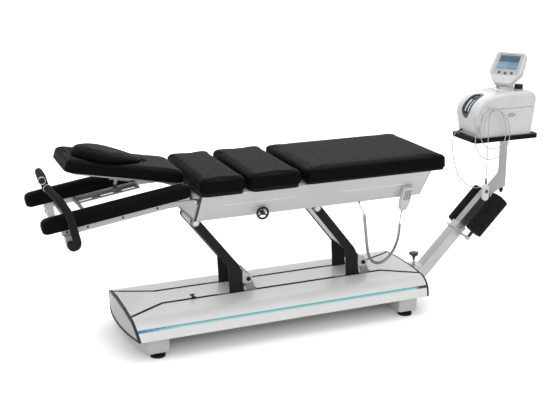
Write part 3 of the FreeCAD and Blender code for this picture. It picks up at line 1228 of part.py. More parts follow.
def make_unit():
    x, z = TRAY_X0, TRAY_TOP
    shell = unit_block(0).cut(unit_block(UNIT_WALL))
    window = nose_oval(WINDOW_HALF_LENGTH, WINDOW_HALF_WIDTH)
    hole = nose_oval(WINDOW_HALF_LENGTH - WINDOW_RIM, WINDOW_HALF_WIDTH - WINDOW_RIM)
    panel = shell.common(window).cut(hole)
    save("unit_front_panel", panel.Solids[0])
    shell = shell.cut(nose_oval(WINDOW_HALF_LENGTH + 0.2, WINDOW_HALF_WIDTH + 0.2))
    wide = (x - 100.0, x + TRAY_LENGTH + 100.0), (-2 * UNIT_HALF_WIDTH, 2 * UNIT_HALF_WIDTH)
    below = box(*wide, (z - 10.0, z + UNIT_SPLIT))
    lower = shell.common(below)
    upper = shell.cut(below)
    upper = upper.cut(upright_rod(TOP_KNOB_X, 0, 4.0 + RUNNING_FIT, (z + UNIT_SPLIT, z + 300.0)))
    upper = upper.cut(upright_rod(NECK_X, 0, NECK_PIN + RUNNING_FIT, (z + UNIT_SPLIT, z + 300.0)))
    save("unit_lower_shell", lower.Solids[0])
    save("unit_upper_shell", upper.Solids[0])

    axle = (x + PULLEY_OUT, z + PULLEY_UP)
    floor_top = z + UNIT_WALL + DRIVE_PLATE_THICKNESS
    sink = floor_top - 1.0
    base = box((x + DRIVE_PLATE[0], x + DRIVE_PLATE[1]), (-DRIVE_PLATE_HALF_WIDTH, DRIVE_PLATE_HALF_WIDTH),
               (z + UNIT_WALL, floor_top))
    boss = 2 * PULLEY_PIN_RADIUS
    fork = side_plate([(axle[0] - 20.0, sink), (axle[0] + 40.0, sink),
                       (axle[0] + boss, axle[1] + boss), (axle[0] - boss, axle[1] + boss)],
                      (PULLEY_WIDTH / 2 + 1.0, PULLEY_WIDTH / 2 + 5.0))
    pin = across(axle[0], axle[1], PULLEY_PIN_RADIUS, (-PULLEY_WIDTH / 2 - 8.0, PULLEY_WIDTH / 2 + 8.0))
    drum_at = (x + DRUM_OUT, z + DRUM_UP)
    drum = across(drum_at[0], drum_at[1], DRUM_RADIUS, (-DRUM_HALF_WIDTH, DRUM_HALF_WIDTH))
    cheek = [(drum_at[0] - DRUM_RADIUS, sink), (drum_at[0] + DRUM_RADIUS, sink),
             (drum_at[0] + 0.55 * DRUM_RADIUS, drum_at[1] + 0.4 * DRUM_RADIUS),
             (drum_at[0] - 0.55 * DRUM_RADIUS, drum_at[1] + 0.4 * DRUM_RADIUS)]
    cheeks = both_sides(side_plate(cheek, (DRUM_HALF_WIDTH, DRUM_HALF_WIDTH + DRUM_CHEEK)))
    motor_z = z + UNIT_MOTOR_UP
    motor = rod(V(x + UNIT_MOTOR[0], 0, motor_z), V(x + UNIT_MOTOR[1], 0, motor_z), UNIT_MOTOR_RADIUS)
    saddle = box((x + UNIT_MOTOR[0] + SADDLE_INSET, x + UNIT_MOTOR[1] - SADDLE_INSET),
                 (-UNIT_MOTOR_RADIUS * 0.7, UNIT_MOTOR_RADIUS * 0.7), (sink, motor_z - SADDLE_INSET))
    drive = joined(base, pin, drum, motor, saddle, *both_sides(fork), *cheeks)
    save("traction_drive", drive)

    pulley = across(axle[0], axle[1], PULLEY_RADIUS, (-PULLEY_WIDTH / 2, PULLEY_WIDTH / 2))
    rope_groove = Part.makeTorus(PULLEY_RADIUS + 2.0, 5.0, V(axle[0], 0, axle[1]), V(0, 1, 0))
    pulley = pulley.cut(rope_groove)
    for k in range(5):
        angle = math.radians(90 + 72 * k)
        centre = axle[0] + 19.0 * math.cos(angle), axle[1] + 19.0 * math.sin(angle)
        pulley = pulley.cut(across(centre[0], centre[1], 6.0, (-PULLEY_WIDTH, PULLEY_WIDTH)))
    through = (-PULLEY_WIDTH, PULLEY_WIDTH)
    pulley = pulley.cut(across(axle[0], axle[1], PULLEY_PIN_RADIUS + RUNNING_FIT, through))
    save("front_pulley", pulley)

    hook_points = [V(HOOK_X, -UNIT_HALF_WIDTH + 1.0, HOOK_Z), V(HOOK_X, -UNIT_HALF_WIDTH - 56.0, HOOK_Z),
                   V(HOOK_X, -UNIT_HALF_WIDTH - 60.0, HOOK_Z + 22.0)]
    path, radii = route(hook_points, (9.0,))
    hook = pipe(path, hook_points, 3.5)
    hook = joined(hook, across(HOOK_X, HOOK_Z, 9.0, (-UNIT_HALF_WIDTH - 3.0, -UNIT_HALF_WIDTH)))
    inside = box((HOOK_X - 20.0, HOOK_X + 20.0), (-UNIT_HALF_WIDTH, 0), (HOOK_Z - 20.0, HOOK_Z + 20.0))
    save("cord_hook", hook.cut(inside))

    top = z + 256.0
    knob = upright_rod(TOP_KNOB_X, 0, 26.0, (top + SOFT_GAP, top + 26.0))
    knob = rounded(knob, 3.0, lambda e: is_level_at(e, top + 26.0))
    save("unit_knob", joined(knob, upright_rod(TOP_KNOB_X, 0, 4.0, (top - 12.0, top + 4.0))))


TOP_KNOB_X = TRAY_X0 + 376.0
NECK_X = TRAY_X0 + 274.0
NECK_PIN = 12.0
HOOK_X = TRAY_X0 + 100.0
HOOK_Z = TRAY_TOP + 168.0


# Display on its swivel neck

def place_display(shape):
    """Lean the upright display back, turn it and set it on the neck."""
    shape.rotate(V(0, 0, 0), V(1, 0, 0), -DISPLAY_LEAN)
    shape.rotate(V(0, 0, 0), V(0, 0, 1), DISPLAY_YAW)
    shape.translate(V(NECK_X, 0, DISPLAY_AXIS_Z))
    return shape


DISPLAY_AXIS_Z = TRAY_TOP + 256.0 + 28.0
DISPLAY_BARREL = 10.0
SAUCER_RADIUS = 64.0
SAUCER_HEIGHT = 8.0


def make_display():
    top = TRAY_TOP + 256.0
    foot = V(NECK_X, 0, top + SOFT_GAP)
    saucer = Part.makeCone(SAUCER_RADIUS, SAUCER_RADIUS - 18.0, SAUCER_HEIGHT, foot, V(0, 0, 1))
    pin = upright_rod(NECK_X, 0, NECK_PIN, (top - 14.0, top + 4.0))
    ears = []
    ear_in = DISPLAY_LUG_HALF + 1.0
    ear_out = ear_in + 10.0
    for y in ((ear_in, ear_out), (-ear_out, -ear_in)):
        ear = joined(box((-12.0, 12.0), y, (-20.0, 0)), across(0, 0, 12.0, y))
        ear.rotate(V(0, 0, 0), V(0, 0, 1), 90 + DISPLAY_YAW)
        ear.translate(V(NECK_X, 0, DISPLAY_AXIS_Z))
        ears.append(ear)
    barrel = across(0, 0, DISPLAY_PIN_RADIUS, (-ear_out, ear_out))
    barrel.rotate(V(0, 0, 0), V(0, 0, 1), 90 + DISPLAY_YAW)
    barrel.translate(V(NECK_X, 0, DISPLAY_AXIS_Z))
    save("display_neck", joined(saucer, pin, barrel, *ears))

    low = DISPLAY_BARREL + 5.0
    high = low + DISPLAY_HEIGHT
    back = -DISPLAY_BACK
    front = back - DISPLAY_THICKNESS
    half_top, half_wide, half_chin = DISPLAY_TOP_WIDTH / 2, DISPLAY_WIDTH / 2, DISPLAY_CHIN_WIDTH / 2
    outline = [(-half_chin, -DISPLAY_CHIN_DROP), (half_chin, -DISPLAY_CHIN_DROP),
               (half_wide, DISPLAY_WIDEST_AT), (half_top, high), (-half_top, high),
               (-half_wide, DISPLAY_WIDEST_AT)]
    whole = side_plate(outline, (front, back))
    runs_through = lambda e: abs(e.tangentAt(0).y) > 0.99
    whole = rounded(whole, DISPLAY_CORNER, lambda e: runs_through(e) and e.BoundBox.ZMin > high - 1.0)
    whole = rounded(whole, DISPLAY_CHIN_CORNER, lambda e: runs_through(e) and e.BoundBox.ZMax < high / 2)
    shell = rounded(whole, DISPLAY_EDGE, lambda e: is_side_at(e, front) or is_side_at(e, back))
    lug_ends = V(-DISPLAY_LUG_HALF, 0, 0), V(DISPLAY_LUG_HALF, 0, 0)
    lug = rod(*lug_ends, DISPLAY_BARREL)
    web = box((-DISPLAY_LUG_HALF, DISPLAY_LUG_HALF), (back - 2.0, DISPLAY_BARREL), (0, low + 20.0))
    shell = joined(shell, lug, web)
    shell = shell.cut(rod(*lug_ends, DISPLAY_PIN_RADIUS + RUNNING_FIT))
    screen_z = low + SCREEN_RISE, low + SCREEN_RISE + SCREEN_HEIGHT
    half = SCREEN_WIDTH / 2
    pocket = box((-half, half), (front - 1.0, front + 3.0), screen_z)
    shell = shell.cut(pocket)
    key_z = low + KEY_RISE
    for k in (-1, 0, 1):
        place = key_z - MIDDLE_KEY_DROP * (1 - abs(k))
        shell = shell.cut(across(k * KEY_SPACING, place, KEY_RADIUS + PLAY, (front - 1.0, front + 9.0)))
    save("display_shell", place_display(shell))

    glass = box((-half + 0.1, half - 0.1), (front + 0.6, front + 3.0), (screen_z[0] + 0.1, screen_z[1] - 0.1))
    save("display_screen", place_display(glass))
    for k, name in ((-1, "display_key_left"), (0, "display_key_middle"), (1, "display_key_right")):
        place = key_z - MIDDLE_KEY_DROP * (1 - abs(k))
        key = across(k * KEY_SPACING, place, KEY_RADIUS, (front - 2.5, front + 7.0))
        key = rounded(key, 1.5, lambda e: is_side_at(e, front - 2.5))
        guide = across(k * KEY_SPACING, place, KEY_RADIUS + PLAY - RUNNING_FIT, (front + 5.0, front + 7.0))
        save(name, place_display(joined(key, guide)))


# Handset and patient switch

def make_handsets():
    half = PENDANT_WIDTH / 2
    depth = PENDANT_THICKNESS / 2
    outline = [(-half, PENDANT_LENGTH / 2), (half, PENDANT_LENGTH / 2), (half, -PENDANT_LENGTH / 6),
               (half * 0.66, -PENDANT_LENGTH / 2), (-half * 0.66, -PENDANT_LENGTH / 2),
               (-half, -PENDANT_LENGTH / 6)]
    body = side_plate(outline, (-depth, depth))
    body = rounded(body, 9.0, lambda e: abs(e.tangentAt(0).y) > 0.99)
    body = rounded(body, 4.0, lambda e: is_side_at(e, -depth))
    low = -PENDANT_LENGTH / 2
    relief = Part.makeCone(4.0, 7.0, 26.0, V(0, 0, low - 25.0), V(0, 0, 1))
    save("pendant", pendant_place(joined(body, relief)))

    bottom = SWITCH_AT[2] - SWITCH_HEIGHT
    half_w = SWITCH_WIDTH / 2
    x, y = SWITCH_AT[0], SWITCH_AT[1]
    y_span = (y - SWITCH_THICKNESS / 2, y + SWITCH_THICKNESS / 2)
    slab = box((x - half_w, x + half_w), y_span, (bottom, SWITCH_AT[2]))
    slab = rounded(slab, half_w - 1.0, lambda e: abs(e.tangentAt(0).y) > 0.99)
    slab = rounded(slab, 8.0, lambda e: is_side_at(e, y_span[0]) or is_side_at(e, y_span[1]))
    relief = Part.makeCone(8.5, 4.0, 42.0, V(x, y, SWITCH_AT[2] - 3.0), V(0, 0, 1))
    centre_z = SWITCH_AT[2] - 40.0
    body = joined(slab, relief)
    body = body.cut(across(x, centre_z, 11.0 + PLAY, (y_span[0] - 1.0, y_span[0] + 8.0)))
    save("patient_switch", body)
    button = across(x, centre_z, 11.0, (y_span[0] - 2.5, y_span[0] + 6.0))
    button = rounded(button, 2.0, lambda e: is_side_at(e, y_span[0] - 2.5))
    guide = across(x, centre_z, 11.0 + PLAY - RUNNING_FIT, (y_span[0] + 4.0, y_span[0] + 6.0))
    save("switch_button", joined(button, guide))


SWITCH_AT = (1316.0, -156.0, 688.0)


COVER_LEVER_X = DECK_X0 + 8.0
LEVER_PIN = 2.5
COVER_LEVER_HEIGHT = 21.0
COVER_LEVER_TIP = 5.5


def make_cover_lever():
    """A small lever that turns on a pin in the seam of the base cover."""
    x, y = COVER_LEVER_X, -SEAM_Y
    foot = box((x - 12.0, x + 12.0), (y - 5.0, y + 5.0), (COVER_TOP + SOFT_GAP, COVER_TOP + 10.0))
    pin = upright_rod(x, y, LEVER_PIN, (COVER_TOP - SKIN - 4.0, COVER_TOP + 1.0))
    tip_z = COVER_TOP + COVER_LEVER_HEIGHT
    stalk = rod(V(x, y, COVER_TOP + 6.0), V(x - 8.0, y, tip_z - 2.0), 4.0)
    tip = rod(V(x - 20.0, y, tip_z), V(x + 4.0, y, tip_z), COVER_LEVER_TIP)
    save("cover_lever", joined(foot, pin, stalk, tip))


# Cords: straight runs joined by tangent arcs through points chosen by hand

SWITCH_CORD = [
    (1284, -112, 1112), (1284, -134, 1112), (1272, -146, 1090), (1253, -147, 1050), (1236, -147, 1002),
    (1232, -147, 946), (1248, -147, 894), (1288, -147, 852), (1344, -147, 832), (1402, -147, 844),
    (1447, -147, 886), (1470, -147, 944), (1470, -147, 1006), (1450, -147, 1066), (1410, -146, 1114),
    (1364, -144, 1141), (1322, -143, 1141), (1290, -140, 1112), (1272, -139, 1058), (1268, -139, 998),
    (1284, -139, 942), (1326, -139, 904), (1382, -139, 892), (1430, -139, 914), (1451, -139, 964),
    (1447, -139, 1020), (1429, -140, 1074), (1400, -147, 1118), (1362, -154, 1142), (1328, -156, 1142),
    (1315, -156, 1108), (1316, -156, 727),
]
LINK_CABLE = [
    (1269, 60, 982), (1252, 60, 981), (1230, 60, 971), (1214, 60, 946), (1210, 60, 904), (1214, 60, 850),
    (1225, 60, 792), (1244, 60, 734), (1273, 60, 680), (1316, 60, 637), (1366, 59, 608), (1410, 56, 602),
    (1448, 52, 618), (1448, 17, 618),
]
CURLY_CORD = [
    (737, -170, 522), (731, -175, 466), (716, -180, 412), (690, -184, 362), (650, -187, 322), (602, -188, 304),
    (558, -188, 318), (530, -188, 362), (519, -187, 436), (511, -184, 520), (502, -180, 610),
]
UPPER_LEAD = [(502, -180, 611), (498, -172, 634), (489, -152, 648), (487, -146, 668)]


def make_cords():
    save("switch_cord", cord("switch cord", SWITCH_CORD, THIN_CORD_RADIUS))
    save("link_cable", cord("link cable", LINK_CABLE, THIN_CORD_RADIUS))
    end = pendant_place(Part.Vertex(0, 0, -PENDANT_LENGTH / 2 - 25.0)).Point
    lean = math.radians(PENDANT_LEAN)
    below = 16.0
    lower = [(end.x, end.y, end.z), (end.x, end.y + below * math.sin(lean), end.z - below * math.cos(lean)),
             (740, -168, 549), (737, -170, 523)]
    curl = cord("curly cord", CURLY_CORD, CURLY_CORD_RADIUS)
    leads = cord("upper lead", UPPER_LEAD, THIN_CORD_RADIUS), cord("lower lead", lower, THIN_CORD_RADIUS)
    save("pendant_cord", curl, *leads)


make_base_covers()
make_foot_beams()
make_chassis()
make_arm("head_lift_arm", "head_arm_plates", HEAD_PIVOT_X, RUNNING_FIT, True)
make_arm("foot_lift_arm", "foot_arm_plates", HEAD_PIVOT_X + ARM_SPACING, OPEN_PIVOT_GAP, False)
make_lift_drive()
make_rails()
make_deck_trim()
make_deck_frame()
make_cushions()
make_lock_wheel()
make_head()
make_armrests()
make_mast()
make_unit()
make_display()
make_handsets()
make_cover_lever()
make_cords()
write_pieces()
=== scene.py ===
import json
from math import atan2, copysign, cos, hypot, pi, radians, sin

import bmesh
import bpy
from mathutils import Matrix, Vector
from mathutils.bvhtree import BVHTree


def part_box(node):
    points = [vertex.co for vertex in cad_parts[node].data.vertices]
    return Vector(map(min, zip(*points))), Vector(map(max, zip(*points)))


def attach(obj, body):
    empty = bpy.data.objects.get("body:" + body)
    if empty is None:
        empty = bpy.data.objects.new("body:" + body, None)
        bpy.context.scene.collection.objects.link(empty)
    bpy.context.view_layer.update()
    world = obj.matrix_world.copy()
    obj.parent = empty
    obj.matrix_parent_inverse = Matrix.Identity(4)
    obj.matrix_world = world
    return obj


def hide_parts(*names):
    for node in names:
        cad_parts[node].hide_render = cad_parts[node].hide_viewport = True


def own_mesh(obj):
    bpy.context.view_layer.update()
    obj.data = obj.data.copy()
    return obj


for name in ("Cube", "Light", "Camera"):
    if name in bpy.data.objects:
        bpy.data.objects.remove(bpy.data.objects[name])

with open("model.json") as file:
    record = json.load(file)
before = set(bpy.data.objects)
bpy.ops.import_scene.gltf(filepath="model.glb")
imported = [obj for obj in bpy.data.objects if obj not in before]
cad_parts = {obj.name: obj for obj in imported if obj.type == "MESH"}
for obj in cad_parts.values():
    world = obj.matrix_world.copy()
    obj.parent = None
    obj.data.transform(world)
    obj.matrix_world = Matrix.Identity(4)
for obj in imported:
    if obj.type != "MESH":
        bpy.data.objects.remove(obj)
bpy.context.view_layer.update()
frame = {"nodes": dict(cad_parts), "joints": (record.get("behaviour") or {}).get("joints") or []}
nodes = frame["nodes"]
joints = {j["name"]: j for j in frame["joints"]}
scene = bpy.context.scene
MM = 0.001
BASE_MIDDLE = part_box("tray")[1].x - 1.690


# Shader nodes

class Nodes:
    def __init__(self, tree):
        self.tree = tree

    def feed(self, node, inputs):
        """Link each input to a socket, or give it a plain value."""
        for key, value in inputs.items():
            if isinstance(value, bpy.types.NodeSocket):
                self.tree.links.new(value, node.inputs[key])
            else:
                node.inputs[key].default_value = value

    def add(self, kind, inputs, **settings):
        node = self.tree.nodes.new(kind)
        for key, value in settings.items():
            setattr(node, key, value)
        self.feed(node, inputs)
        return node

    def ranged(self, value, source, target):
        inputs = {"Value": value, "From Min": source[0], "From Max": source[1], "To Min": target[0],
                  "To Max": target[1]}
        return self.add("ShaderNodeMapRange", inputs).outputs["Result"]

    def maths(self, operation, a, b=0.0):
        return self.add("ShaderNodeMath", {0: a, 1: b}, operation=operation).outputs[0]

    def seen(self):
        """1 for what the camera sees, also in metal and glass, and 0 for light that falls on the object."""
        path = self.add("ShaderNodeLightPath", {}).outputs
        either = self.maths("MAXIMUM", path["Is Camera Ray"], path["Is Glossy Ray"])
        return self.maths("MAXIMUM", either, path["Is Transmission Ray"])


# Camera at the photograph's viewing angle, and studio light

CAMERA_AT = Vector((BASE_MIDDLE - 1.9848, -5.0242, 2.2798))
AZIMUTH, ELEVATION, ROLL = radians(-22.2), radians(16.3), radians(-0.2)


def add_camera():
    back = Vector((sin(AZIMUTH) * cos(ELEVATION), -cos(AZIMUTH) * cos(ELEVATION),
                   sin(ELEVATION)))
    right = (-back).cross(Vector((0, 0, 1))).normalized()
    up = right.cross(-back)
    side = right * cos(ROLL) + up * sin(ROLL)
    top = up * cos(ROLL) - right * sin(ROLL)
    data = bpy.data.cameras.new("camera")
    data.sensor_width = 36.0
    data.lens = 64.92
    camera = bpy.data.objects.new("camera", data)
    turn = Matrix((side, top, back)).transposed().to_4x4()
    camera.matrix_world = Matrix.Translation(CAMERA_AT) @ turn
    scene.collection.objects.link(camera)
    scene.camera = camera


def add_studio():
    world = bpy.data.worlds.new("studio")
    scene.world = world
    world.use_nodes = True
    n = Nodes(world.node_tree)
    level = n.ranged(n.seen(), (0.0, 1.0), (0.72, 1.0))
    n.feed(n.tree.nodes["Background"], {"Color": (1.0, 1.0, 1.0, 1.0), "Strength": level})
    lights = (
        ("top_softbox", (0.2, -0.4, 4.2), (0, 0, 0.6), 4.0, 3.0, 60.0),
        ("front_softbox", (-2.6, -4.6, 3.0), (0.1, 0, 0.6), 2.6, 2.2, 34.0),
        ("back_softbox", (1.5, 3.6, 2.6), (0.2, 0, 0.8), 3.0, 2.0, 20.0),
    )
    for name, at, target, width, height, power in lights:
        data = bpy.data.lights.new(name, "AREA")
        data.shape = "RECTANGLE"
        data.size, data.size_y, data.energy = width, height, power
        lamp = bpy.data.objects.new(name, data)
        aim = Vector(target) - Vector(at)
        lamp.matrix_world = Matrix.Translation(at) @ aim.to_track_quat("-Z", "Y").to_matrix().to_4x4()
        scene.collection.objects.link(lamp)
    scene.view_settings.view_transform = "Standard"


# Procedural materials

class Surface(Nodes):
    """A principled material with colour, roughness and relief from textures in the object's own space."""

    def __init__(self, name, rough, metal=0.0, coat=0.0, specular=0.5):
        self.material = bpy.data.materials.new(name)
        self.material.use_nodes = True
        super().__init__(self.material.node_tree)
        self.shader = self.tree.nodes["Principled BSDF"]
        self.feed(self.shader, {"Roughness": rough, "Metallic": metal, "Coat Weight": coat,
                                "Specular IOR Level": specular})
        self.coords = self.add("ShaderNodeTexCoord", {}).outputs["Object"]
        self.relief = None

    def noise(self, scale, detail=4.0, stretch=None):
        place = self.coords
        if stretch:
            place = self.add("ShaderNodeMapping", {"Scale": stretch, "Vector": place}).outputs["Vector"]
        inputs = {"Scale": scale, "Detail": detail, "Vector": place}
        return self.add("ShaderNodeTexNoise", inputs).outputs["Fac"]

    def cells(self, scale, feature="DISTANCE_TO_EDGE"):
        inputs = {"Scale": scale, "Vector": self.coords}
        return self.add("ShaderNodeTexVoronoi", inputs, feature=feature).outputs["Distance"]

    def along(self, axis):
        return self.add("ShaderNodeSeparateXYZ", {"Vector": self.coords}).outputs[axis]

    def ramp(self, value, stops, mode="LINEAR"):
        node = self.add("ShaderNodeValToRGB", {"Fac": value})
        node.color_ramp.interpolation = mode
        elements = node.color_ramp.elements
        while len(elements) < len(stops):
            elements.new(0.5)
        for element, (place, colour) in zip(elements, stops):
            element.position = place
            element.color = (*colour, 1.0)
        return node.outputs["Color"]

    def beyond(self, value, half):
        """How far a signed distance lies past a half width, and 0 inside it."""
        return self.maths("MAXIMUM", self.maths("SUBTRACT", self.maths("ABSOLUTE", value), half), 0.0)

    def distance(self, a, b):
        squares = self.maths("MULTIPLY", a, a), self.maths("MULTIPLY", b, b)
        return self.maths("SQRT", self.maths("ADD", *squares))

    def mixed(self, a, b, share, blend="MIX"):
        """Colour b laid over colour a."""
        inputs = {"Factor": share, "A": a, "B": b}
        return self.add("ShaderNodeMix", inputs, data_type="RGBA", blend_type=blend).outputs["Result"]

    def colour(self, output):
        self.feed(self.shader, {"Base Color": output})
        return self

    def tone(self, value, dark, light):
        return self.colour(self.ramp(value, ((0.3, dark), (0.7, light))))

    def metallic(self, share, low, high):
        self.feed(self.shader, {"Metallic": self.ranged(share, (0.0, 1.0), (low, high))})

    def roughness(self, value, low, high):
        self.feed(self.shader, {"Roughness": self.ranged(value, (0.25, 0.75), (low, high))})

    def bump(self, value, distance, strength):
        inputs = {"Height": value, "Distance": distance, "Strength": strength}
        if self.relief:
            inputs["Normal"] = self.relief
        self.relief = self.add("ShaderNodeBump", inputs).outputs["Normal"]
        self.feed(self.shader, {"Normal": self.relief})
        return self

    def glow(self, output, strength):
        self.feed(self.shader, {"Emission Color": output, "Emission Strength": strength})


def grey(level, tint=0.0):
    return level, level * (1 + tint / 2), level * (1 + tint)


def vinyl(name, level):
    s = Surface(name, 0.5, specular=0.034)
    s.tone(s.noise(5.0), grey(level * 0.92, 0.12), grey(level * 1.08, 0.12))
    s.roughness(s.noise(60.0), 0.48, 0.60)
    s.bump(s.cells(620.0), 0.00022, 0.5)
    return s.bump(s.noise(12.0, 2.0), 0.0012, 0.2).material


def powder_coat(name, level, tint=0.02, metal=0.0, rough=(0.34, 0.46), coat=0.12, specular=0.5):
    s = Surface(name, 0.4, metal=metal, coat=coat, specular=specular)
    s.tone(s.noise(3.0), grey(level * 0.965, tint), grey(level * 1.035, tint))
    s.roughness(s.noise(24.0), *rough)
    return s.bump(s.noise(900.0, 2.0), 0.00010, 0.35).material


BRUSHED = (6.0, 160.0, 160.0)


def plain_metal(name, level, rough=(0.24, 0.42), tint=0.015):
    s = Surface(name, 0.3, metal=1.0)
    s.tone(s.noise(6.0), grey(level * 0.92, tint), grey(level * 1.06, tint))
    s.roughness(s.noise(5.0, 3.0, BRUSHED), *rough)
    return s.bump(s.noise(6.0, 3.0, BRUSHED), 0.00008, 0.4).material


def moulded(name, colour, rough=(0.3, 0.42), grain=700.0, depth=0.00008, coat=0.0, specular=0.5):
    s = Surface(name, 0.36, coat=coat, specular=specular)
    dark = tuple(c * 0.93 for c in colour)
    light = tuple(min(1.0, c * 1.06) for c in colour)
    s.tone(s.noise(7.0), dark, light)
    s.roughness(s.noise(30.0), *rough)
    return s.bump(s.noise(grain, 2.0), depth, 0.4).material


def foam(name, level):
    s = Surface(name, 0.85, specular=0.08)
    s.tone(s.noise(40.0), grey(level * 0.8), grey(level * 1.25))
    s.roughness(s.noise(90.0), 0.72, 0.92)
    return s.bump(s.cells(700.0, "F1"), 0.0004, 0.6).material


def light_strip_material():
    """Teal along the upper edge, pale below, a blue first end and a dark last end."""
    s = Surface("light_strip", 0.25, coat=0.3)
    low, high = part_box("light_strips")
    height = s.ranged(s.along("Z"), (low.z, high.z), (0.0, 1.0))
    colour = s.ramp(height, ((0.0, (0.54, 0.66, 0.68)), (0.35, (0.34, 0.60, 0.62)),
                             (0.6, (0.13, 0.46, 0.47)), (1.0, (0.10, 0.36, 0.38))))
    place = s.ranged(s.along("X"), (low.x, high.x), (0.0, 1.0))
    ends = (((0.01, 0.13), (1.0, 0.0), (0.02, 0.20, 0.48)), ((0.955, 0.975), (0.0, 1.0), (0.03, 0.04, 0.06)))
    for span, shares, tint in ends:
        colour = s.mixed(colour, (*tint, 1.0), s.ranged(place, span, shares))
    s.colour(colour)
    s.glow(colour, 0.10)
    s.roughness(s.noise(50.0), 0.2, 0.34)
    return s.bump(s.noise(120.0, 2.0), 0.0001, 0.3).material


ARM_BEND_Z, ARM_BLACK_BACK = 0.405, 0.034


def arm_material(name, pivot_x):
    """Silver paint, and black on the back of the arm below its bend."""
    s = Surface(name, 0.4, specular=0.3)
    below = s.maths("LESS_THAN", s.along("Z"), ARM_BEND_Z)
    behind = s.maths("LESS_THAN", s.along("X"), BASE_MIDDLE + pivot_x - ARM_BLACK_BACK)
    black = s.maths("MULTIPLY", below, behind)
    s.colour(s.ramp(black, ((0.4, grey(0.50, -0.01)), (0.6, grey(0.010)))))
    s.metallic(black, 0.35, 0.0)
    s.roughness(s.noise(24.0), 0.36, 0.48)
    return s.bump(s.noise(900.0, 2.0), 0.00010, 0.35).material


MAST_FOOT = Vector((BASE_MIDDLE + 0.973, 0, 0.129))
MAST_ANGLE = radians(45.3)
SLEEVE_START, SLEEVE_END, SLEEVE_BESIDE = 0.3545, 0.42, 0.084


def fork_material():
    """Aluminium, with black sleeves on the roller spindles below the rollers."""
    s = Surface("fork_aluminium", 0.4)
    run = s.maths("MULTIPLY", s.maths("SUBTRACT", s.along("X"), MAST_FOOT.x), cos(MAST_ANGLE))
    rise = s.maths("MULTIPLY", s.maths("SUBTRACT", s.along("Z"), MAST_FOOT.z), sin(MAST_ANGLE))
    place = s.maths("ADD", run, rise)
    above, below = s.maths("GREATER_THAN", place, SLEEVE_START), s.maths("LESS_THAN", place, SLEEVE_END)
    beside = s.maths("GREATER_THAN", s.maths("ABSOLUTE", s.along("Y")), SLEEVE_BESIDE)
    sleeve = s.maths("MULTIPLY", s.maths("MULTIPLY", above, below), beside)
    s.colour(s.ramp(sleeve, ((0.4, grey(0.46, -0.02)), (0.6, grey(0.012)))))
    s.metallic(sleeve, 1.0, 0.0)
    s.roughness(s.noise(40.0), 0.34, 0.5)
    return s.bump(s.noise(600.0, 2.0), 0.00008, 0.3).material


def two_part(name, axis, split, low_level, high_level, low_metal, high_metal):
    """One grey on the low side of a plane and another on its high side, each with its own share of metal."""
    s = Surface(name, 0.4)
    step = s.ranged(s.along(axis), (split - 0.0003, split + 0.0003), (0.0, 1.0))
    s.colour(s.ramp(step, ((0.45, grey(low_level)), (0.55, grey(high_level)))))
    s.metallic(step, low_metal, high_metal)
    s.roughness(s.noise(60.0), 0.3, 0.48)
    return s.bump(s.noise(600.0, 2.0), 0.0001, 0.3).material


M = {
    "vinyl": vinyl("black_vinyl", 0.0035),
    "welt": vinyl("vinyl_seam", 0.003),
    "white": powder_coat("silver_white_paint", 0.77, -0.014),
    "rail": powder_coat("rail_paint", 0.64, -0.016),
    "cap": powder_coat("end_cap_paint", 0.44, -0.012),
    "beam": powder_coat("beam_paint", 0.54, -0.012),
    "frame": powder_coat("frame_paint", 0.34, 0.01),
    "arm": powder_coat("arm_silver_paint", 0.40, -0.01, metal=0.5),
    "black_paint": powder_coat("black_paint", 0.010, 0.0, rough=(0.42, 0.54), coat=0.0, specular=0.14),
    "rubber": moulded("black_rubber", grey(0.010), (0.55, 0.72), 500.0, 0.00015, specular=0.15),
    "gasket": moulded("gasket_rubber", grey(0.028), (0.45, 0.6), 500.0, 0.00012, specular=0.2),
    "steel": plain_metal("bright_steel", 0.50),
    "mast": plain_metal("mast_aluminium", 0.46, (0.34, 0.50), tint=-0.02),
    "post": plain_metal("post_aluminium", 0.33, (0.34, 0.50), tint=-0.01),
    "badge": plain_metal("badge_grey", 0.30, (0.30, 0.44)),
    "bronze": moulded("bronze_bush", (0.42, 0.30, 0.14), (0.3, 0.4)),
    "black_plastic": moulded("black_plastic", grey(0.012), (0.32, 0.46), specular=0.25),
    "gloss_black": moulded("gloss_black", grey(0.006), (0.34, 0.44), 300.0, 0.00004, specular=0.05),
    "unit_white": moulded("unit_white", grey(0.66, 0.02), (0.18, 0.28), 500.0, 0.00004, 0.25),
    "handset": moulded("handset_white", grey(0.62, 0.01), (0.34, 0.44)),
    "key": moulded("key_grey", grey(0.05, 0.08), (0.34, 0.46)),
    "bezel": moulded("bezel_grey", grey(0.50, 0.02), (0.34, 0.46)),
    "handset_key": moulded("handset_key_grey", grey(0.22, 0.06), (0.34, 0.46)),
    "pulley": powder_coat("pulley_silver", 0.62, 0.0, metal=0.3, rough=(0.26, 0.36)),
    "panel": moulded("front_panel_dark", (0.034, 0.052, 0.070), (0.26, 0.36), 300.0, 0.00004, specular=0.3),
    # Painted highlight for the lower lips of the deck-side grooves.
    "groove": moulded("groove_white", grey(0.92), (0.4, 0.5)),
    "foam": foam("black_foam", 0.012),
    "grip": foam("grip_foam", 0.014),
    "cord_white": moulded("cord_white", grey(0.44, 0.01), (0.4, 0.52), 900.0, 0.00006),
    "cord_grey": moulded("cord_grey", grey(0.25, 0.02), (0.4, 0.52), 900.0, 0.00006),
    "crease": moulded("crease_grey", grey(0.24, 0.02), (0.4, 0.5)),
    "light": light_strip_material(),
    "board": moulded("dark_board", grey(0.008), (0.6, 0.75), 220.0, 0.0002, specular=0.12),
    "drive": moulded("drive_plastic", grey(0.10), (0.5, 0.62)),
}


# Piece building

def dress(mesh, material):
    mesh.materials.clear()
    mesh.materials.append(material)
    for polygon in mesh.polygons:
        polygon.use_smooth = True


